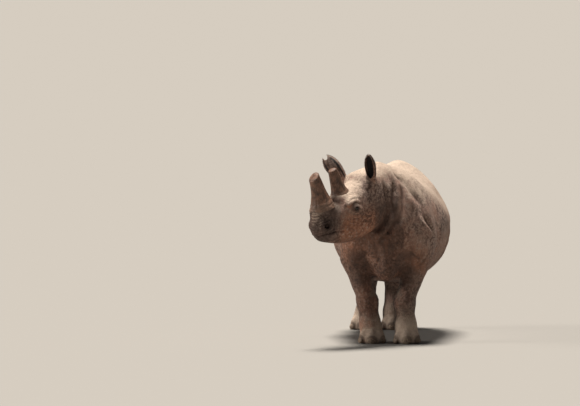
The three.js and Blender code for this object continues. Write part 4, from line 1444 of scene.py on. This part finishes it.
def make_eye(name, side, material, rows=26, columns=36):
    """An eyeball about its node's middle, of radius r (1 + bulge e^-(angle / 0.5)^2), with
    the clear bulge and the pupil facing out and a little ahead."""
    low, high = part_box(f"eye_{name}")
    middle = np.array((low + high) / 2)
    gaze = HEAD_AXES @ unit(np.array((0.30, side, 0.02)))
    across = unit(np.cross(gaze, (0, 0, 1)))
    up = np.cross(gaze, across)
    angle = np.linspace(np.pi - 0.04, 0.03, rows)[:, None]
    turn = np.linspace(0, 2 * np.pi, columns, endpoint=False)
    r = EYE["r"] * MM * (1 + EYE["bulge"] * bell(angle, 0.5))
    rings = r[..., None] * (
        np.cos(angle)[..., None] * gaze
        + (np.sin(angle) * np.cos(turn))[..., None] * across
        + (np.sin(angle) * np.sin(turn))[..., None] * up
    )
    points, faces = capped(middle + rings)
    spokes = np.abs(np.sin(turn * 9 + np.sin(turn * 5))) + 0 * angle
    piece(
        f"eyeball_{name}",
        points,
        faces,
        material,
        "eye",
        [f"eye_{name}"],
        angle=with_ends(angle + 0 * turn, np.pi, 0),
        spokes=with_ends(spokes, 0, 0),
    )


def nail_place(end, side, number):
    """The middle of a toenail, ahead of its foot's sole."""
    sole, angle = LEGS[end][side]["sole"], TOE_ANGLES[number]
    return (*toe_place(sole, angle, NAIL["ahead"], FOOT_SIZE[end]), NAIL["low"])


def make_nail(end, side, number, material, rows=20, columns=30):
    """A toenail about its place: an egg turned to face its toe's way, with growth rings,
    standing flat on the floor."""
    angle = TOE_ANGLES[number]
    wide = NAIL["wide"] * FOOT_SIZE[end] * (1.15 if angle == 0 else 0.95)
    tilt = np.linspace(-np.pi / 2 + 0.05, np.pi / 2 - 0.05, rows)[:, None]
    turn = np.linspace(0, 2 * np.pi, columns, endpoint=False)
    rings = 1 + 0.012 * np.sin(tilt * 22)
    x = np.cos(tilt) * np.cos(turn) * wide * rings
    y = np.cos(tilt) * np.sin(turn) * NAIL["deep"] * rings
    egg = np.stack([x, y, np.sin(tilt) * NAIL["tall"] + 0 * turn], -1)
    egg = egg @ (turned(0, 0, angle) @ turned(NAIL["leans"], 0, 0)).T
    egg = egg + np.add(nail_place(end, side, number), (0, 0, 2))
    edge = 1 - eased(egg[..., 2], 4, 22)
    egg[..., 2] = np.maximum(egg[..., 2], 0.3)
    points, faces = capped(egg)
    piece(
        f"toenail_{end}_{side}_{number}",
        placed(points),
        faces,
        material,
        "nail",
        [f"nail_{end}_{side}_{number}"],
        edge=with_ends(edge, 1, 0),
    )


def bristles(name, roots, tips, sag, thick, spots, material, seed):
    """A coat of single hairs: each is a three-sided spike along a bowed line from root to
    tip, thick (1 - 0.92 t^1.5) in radius at a share t of it. Every hair is one spot of its
    own map."""
    many, steps = len(roots), 5
    rng = np.random.default_rng(seed)
    share = np.linspace(0, 1, steps)
    t = share[None, :, None]
    along = tips - roots
    side = unit(np.cross(along, rng.normal(size=(many, 3))))
    other = unit(np.cross(along, side))
    middle = (roots + tips) / 2 + sag
    line = (1 - t) ** 2 * roots[:, None] + 2 * t * (1 - t) * middle[:, None]
    line = line + t * t * tips[:, None]
    turn = (np.arange(3) * 2 * np.pi / 3)[:, None]
    r = thick * (1 - 0.92 * t[..., None] ** 1.5)
    ways = np.cos(turn) * side[:, None, None] + np.sin(turn) * other[:, None, None]
    points = (line[:, :, None] + r * ways).reshape(-1, 3)
    first = (np.arange(many) * steps * 3)[:, None]
    faces = (grid_faces(steps, 3)[None] + first[..., None]).reshape(-1, 4)
    ends = (first + (0, 2, 1), first + (steps - 1) * 3 + (0, 1, 2))
    attributes = {
        "along": np.tile(np.repeat(share, 3), many),
        "shade": np.repeat(rng.uniform(0, 1, many), steps * 3),
    }
    made = piece(name, placed(points), (faces, *ends), material, "hide", **attributes)
    spot = np.tile([(0.0, 0.0), (0.003, 0.0), (0.0015, 0.003)], (steps, 1))
    spot = spot + np.repeat(np.linspace(0, 0.0005, steps), 3)[:, None]
    uv = (spots[:, None] * 0.98 + 0.005 + spot[None]).reshape(-1, 2)
    layer = made.data.uv_layers.new(name="OFBake")
    index = np.empty(len(made.data.loops), int)
    made.data.loops.foreach_get("vertex_index", index)
    layer.data.foreach_set("uv", uv[index].astype(np.float32).ravel())


def make_tail_bristles(coat):
    """Stiff dark hairs on the tail's flat tip, fore and aft and below it."""
    rng = np.random.default_rng(17)
    many = coat.tail_hairs
    height, turn = rng.uniform(0, 1, many) ** 0.7, rng.uniform(0, 2 * np.pi, many)
    middle, r = np.array(TAIL_TIP["at"], float), np.array(TAIL_TIP["r"], float)
    up = 1 - 1.9 * height
    flat = np.sqrt(np.clip(1 - up**2, 0.02, 1))
    root = middle + np.stack([r[0] * flat * np.cos(turn), r[1] * flat * np.sin(turn), r[2] * up], 1)
    out = np.stack([0.55 * np.cos(turn), 0.30 * np.sin(turn), np.full(many, -1.0)], 1)
    long = coat.tail_length / MM * rng.uniform(0.6, 1.0, many)[:, None]
    tip = root + unit(out + rng.normal(0, 0.09, (many, 3))) * long
    spots = np.stack([turn / (2 * np.pi), height], 1)
    material = bristle_material("tail bristles", coat.dark, coat.brown)
    bristles("tail_bristles", root, tip, (0, 0, -4), 0.9, spots, material, 18)


def make_ear_fringe(name, coat, material, seed):
    """Short hairs all round an ear's edge, leaning out and up, with none in its notch."""
    ear, rng, many = EARS[name], np.random.default_rng(seed), coat.ear_hairs
    t = rng.uniform(0.28, 0.99, many)
    side = np.where(rng.uniform(0, 1, many) < 0.5, -1.0, 1.0)
    half = leaf(ear, t)[0] * (1 - 0.04 * rng.uniform(0, 1, many))
    bow = EAR["bow"] * t * t + rng.uniform(-4, 8, many)
    ear_root = np.stack([bow, side * (half - 3), ear["length"] * (t - EAR["sunk"])], 1)
    if ear["notched"]:
        tall, wide = EAR["bite"]
        from_bite = (ear_root[:, 1:] - (0, ear["length"] * EAR["bite_at"])) / (wide, tall)
        keep = np.linalg.norm(from_bite, axis=1) > 1.1
        ear_root, t, side = ear_root[keep], t[keep], side[keep]
    lean = np.stack([0.15 + 0 * t, side * (1.1 - t), 0.5 + t], 1)
    lean = unit(lean + rng.normal(0, 0.16, lean.shape))
    long = coat.ear_length / MM * rng.uniform(0.55, 1.0, len(t))[:, None]
    axes, root = ear_axes(ear), np.array(ear["root"], float)
    roots = from_head(ear_root @ axes + root)
    tips = from_head((ear_root + lean * long) @ axes + root)
    spots = np.stack([0.5 + side * 0.4 * (1 - 0.3 * t) + 0.02 * np.sin(40 * t), t], 1)
    bristles(f"ear_fringe_{name}", roots, tips, (0, 0, 1), 0.55, spots, material, seed + 1)


# ------------------------------------------------------------------ settings


def colour(name, text, value):
    """A colour setting."""
    return FloatVectorProperty(
        name=name, description=text, subtype="COLOR", size=3, min=0, max=1, default=value
    )


def amount(name, text, value, **more):
    """A number setting, with its unit or its limits."""
    return FloatProperty(name=name, description=text, default=value, **more)


class HideSettings(PropertyGroup):
    clay: colour("Clay", "Warm patches of the skin", (0.34, 0.205, 0.155))
    grey: colour("Grey", "Cool patches of the skin", (0.27, 0.185, 0.152))
    pale: colour("Pale", "Rubbed skin", (0.50, 0.37, 0.30))
    # this colour: dust, and painted light on the back, the tops, the feet, the eyelids and the
    # muzzle's ridges
    dust: colour("Dust", "Dry dust on the back and feet", (0.62, 0.49, 0.385))
    # this colour: the muzzle's and ears' own dark, and painted shade round eyes, nostrils and
    # toenails, on belly, armpits, chest, legs and throat
    dark: colour("Dark", "Muzzle, lips and eyelids", (0.055, 0.034, 0.027))
    # this colour: the skin's own dark streaks and specks, and painted shade at the bottom of folds,
    # wrinkles and cracks
    deep: colour("Deep", "The bottom of folds and cracks", (0.075, 0.042, 0.031))
    # this colour: painted red light bounced up from the ground, on what faces down, the chest and
    # the cheeks
    red_bounce: colour("Earth", "Red earth on the throat, chest and belly", (0.38, 0.155, 0.08))
    # this colour: painted shade deep in the ear cups
    cup: colour("Cup", "Inside of the ears", (0.010, 0.007, 0.006))
    relief: amount("Relief", "Depth of the fine cracks, mm", 9.0, min=0, max=20)


class HornSettings(PropertyGroup):
    dark: colour("Dark", "Grooves and weathered horn", (0.055, 0.027, 0.017))
    brown: colour("Brown", "Main colour of the horns", (0.19, 0.092, 0.055))
    pale: colour("Pale", "Rubbed fibres", (0.37, 0.235, 0.165))
    base: colour("Base", "The frayed foot of each horn", (0.25, 0.165, 0.12))


class NailSettings(PropertyGroup):
    brown: colour("Brown", "Main colour of the toenails", (0.12, 0.078, 0.055))
    pale: colour("Pale", "Dusty and worn nail", (0.33, 0.245, 0.175))
    dark: colour("Dark", "Growth lines", (0.050, 0.033, 0.024))


class EyeSettings(PropertyGroup):
    pupil: colour("Pupil", "Middle of the eye", (0.002, 0.002, 0.002))
    iris: colour("Iris", "Dark part of the iris", (0.020, 0.010, 0.006))
    rim: colour("Rim", "Light spokes of the iris", (0.055, 0.028, 0.015))
    white: colour("White", "The eyeball beside the iris", (0.060, 0.035, 0.028))


class CoatSettings(PropertyGroup):
    dark: colour("Dark", "Bristles at their roots", (0.012, 0.008, 0.006))
    brown: colour("Brown", "Bristles at their tips", (0.060, 0.036, 0.024))
    tail_hairs: IntProperty(
        name="Tail hairs", description="Bristles on the tail", default=1500, min=0, max=8000
    )
    tail_length: amount("Tail length", "Longest tail bristle", 0.115, unit="LENGTH")
    ear_hairs: IntProperty(
        name="Ear hairs", description="Hairs on each ear's edge", default=700, min=0, max=5000
    )
    ear_length: amount("Ear length", "Longest ear hair", 0.016, unit="LENGTH")


class StageSettings(PropertyGroup):
    floor: colour("Floor", "Colour of the studio's floor", (0.27, 0.255, 0.235))
    key: amount("Key", "Strength of the main light", 7.1, min=0)
    side: amount("Side", "Strength of the low side light", 1.5, min=0)
    fill: amount("Fill", "Strength of the sky's light", 0.09, min=0)
    far: amount("Distance", "From the forefeet to the camera", 50, unit="LENGTH")
    frame_width: amount("Width", "Width of the view at the feet", 4.874, unit="LENGTH")
    aside: amount("Aside", "From the view's middle to the forefeet", 0.836, unit="LENGTH")
    over: amount("Over", "Height of the view's middle above them", 1.176, unit="LENGTH")
    round: amount(
        "Round", "Camera's way round to the animal's left", np.radians(1.5), subtype="ANGLE"
    )
    above: amount("Above", "Camera's angle above the floor", np.radians(3.5), subtype="ANGLE")


GROUPS = {
    "rhino_hide": HideSettings,
    "rhino_horn": HornSettings,
    "rhino_nail": NailSettings,
    "rhino_eye": EyeSettings,
    "rhino_coat": CoatSettings,
    "rhino_stage": StageSettings,
}

# ------------------------------------------------------------------ operators


class MakeSkin(Operator):
    """Makes the skin of head, neck, trunk, tail, legs and feet"""

    bl_idname = "rhino.make_skin"
    bl_label = "Skin"

    def execute(self, context):
        make_skin(context.scene.rhino_hide)
        return {"FINISHED"}


class MakeHorns(Operator):
    """Makes the front and the rear horn"""

    bl_idname = "rhino.make_horns"
    bl_label = "Horns"

    def execute(self, context):
        material = horn_material(context.scene.rhino_horn)
        for name in HORNS:
            make_horn(name, material)
        return {"FINISHED"}


class MakeEyes(Operator):
    """Makes both eyeballs"""

    bl_idname = "rhino.make_eyes"
    bl_label = "Eyes"

    def execute(self, context):
        material = eye_material(context.scene.rhino_eye)
        for name, side in SIDES.items():
            make_eye(name, side, material)
        return {"FINISHED"}


class MakeToenails(Operator):
    """Makes the three toenails of each foot"""

    bl_idname = "rhino.make_toenails"
    bl_label = "Toenails"

    def execute(self, context):
        material = nail_material(context.scene.rhino_nail)
        for nail in NAILS:
            make_nail(*nail, material)
        return {"FINISHED"}


class MakeBristles(Operator):
    """Makes the tail's bristles and the ears' fringes"""

    bl_idname = "rhino.make_bristles"
    bl_label = "Bristles"

    def execute(self, context):
        coat = context.scene.rhino_coat
        make_tail_bristles(coat)
        material = bristle_material("ear hair", coat.dark, coat.brown)
        for i, name in enumerate(EARS):
            make_ear_fringe(name, coat, material, 23 + 10 * i)
        return {"FINISHED"}


class MakeStage(Operator):
    """Makes the floor, the lights and the camera"""

    bl_idname = "rhino.make_stage"
    bl_label = "Stage"

    def execute(self, context):
        make_stage(context.scene, context.scene.rhino_stage)
        return {"FINISHED"}


def make_stage(scene, stage):
    """A wide pale floor under a pale sky, a key light from almost overhead and a little
    behind, a weak low one from the animal's right, and a camera with a long lens far
    ahead of it, a little to its left and above the floor."""
    floor = bpy.data.meshes.new("floor")
    reach = FLOOR_REACH
    corners = [(-reach, -reach, 0), (reach, -reach, 0), (reach, reach, 0), (-reach, reach, 0)]
    floor.from_pydata(corners, [], [(0, 1, 2, 3)])
    paint = Paint("floor", Roughness=0.95, Specular_IOR_Level=0.1)
    floor.materials.append(paint.finish(Base_Color=stage.floor))
    ground = bpy.data.objects.new("floor", floor)
    scene.collection.objects.link(ground)
    ground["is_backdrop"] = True

    world = bpy.data.worlds.new("studio")
    world.use_nodes = True
    sky = world.node_tree.nodes["Background"]
    sky.inputs["Color"].default_value = (0.95, 0.97, 1.0, 1.0)
    sky.inputs["Strength"].default_value = stage.fill
    scene.world = world

    lamps = (("key", stage.key, (-0.06, 0.13, 0.99)), ("side", stage.side, (-0.9, -0.1, 0.36)))
    for name, power, way in lamps:
        sun = bpy.data.lights.new(name, "SUN")
        sun.energy, sun.angle, sun.color = power, 0.30, (1.0, 0.955, 0.89)
        lamp = bpy.data.objects.new(name, sun)
        lamp.matrix_world = Vector(way).to_track_quat("Z", "Y").to_matrix().to_4x4()
        scene.collection.objects.link(lamp)

    boxes = [np.array(c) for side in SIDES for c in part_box(f"foot_fore_{side}")]
    feet = (np.min(boxes, 0) + np.max(boxes, 0)) / 2 * (1, 1, 0)
    turn, tilt = stage.round, stage.above
    ahead = np.array((-np.sin(turn) * np.cos(tilt), np.cos(turn) * np.cos(tilt), -np.sin(tilt)))
    right = np.array((np.cos(turn), np.sin(turn), 0.0))
    up = np.cross(right, ahead)
    eye = feet - stage.aside * right + stage.over * up - stage.far * ahead
    lens = bpy.data.cameras.new("camera")
    lens.lens = lens.sensor_width * stage.far / stage.frame_width
    lens.clip_end = 2000.0
    camera = bpy.data.objects.new("camera", lens)
    axes = Matrix(np.stack([right, up, -ahead], 1).tolist()).to_4x4()
    camera.matrix_world = Matrix.Translation(Vector(eye)) @ axes
    scene.collection.objects.link(camera)
    scene.camera = camera
    scene.view_settings.view_transform = "Standard"


OPERATORS = [MakeStage, MakeSkin, MakeHorns, MakeEyes, MakeToenails, MakeBristles]


class RhinoPanel(Panel):
    """Lists the operators and their settings"""

    bl_idname = "VIEW3D_PT_rhino"
    bl_label = "Black rhinoceros"
    bl_space_type = "VIEW_3D"
    bl_region_type = "UI"
    bl_category = "Rhinoceros"

    def draw(self, context):
        for operator in OPERATORS:
            self.layout.operator(operator.bl_idname)
        for title, group in GROUPS.items():
            column = self.layout.column(heading=title)
            for key in group.__annotations__:
                column.prop(getattr(context.scene, title), key)


def register():
    """Registers the classes, and hangs each group of settings on the scene."""
    for part in (*GROUPS.values(), *OPERATORS, RhinoPanel):
        bpy.utils.register_class(part)
    for title, group in GROUPS.items():
        setattr(bpy.types.Scene, title, PointerProperty(type=group))


def unregister():
    """Takes the settings off the scene, and the classes out."""
    for title in GROUPS:
        delattr(bpy.types.Scene, title)
    for part in (RhinoPanel, *reversed(OPERATORS), *GROUPS.values()):
        bpy.utils.unregister_class(part)


def main():
    """Makes every piece and the stage."""
    register()
    for operator in OPERATORS:
        getattr(bpy.ops.rhino, operator.bl_idname.split(".")[1])()
    sizes = {"cad": CAD_BOX, "visual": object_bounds()}
    sizes = {title: [list(map(float, c)) for c in box] for title, box in sizes.items()}


if __name__ == "__main__":
    main()
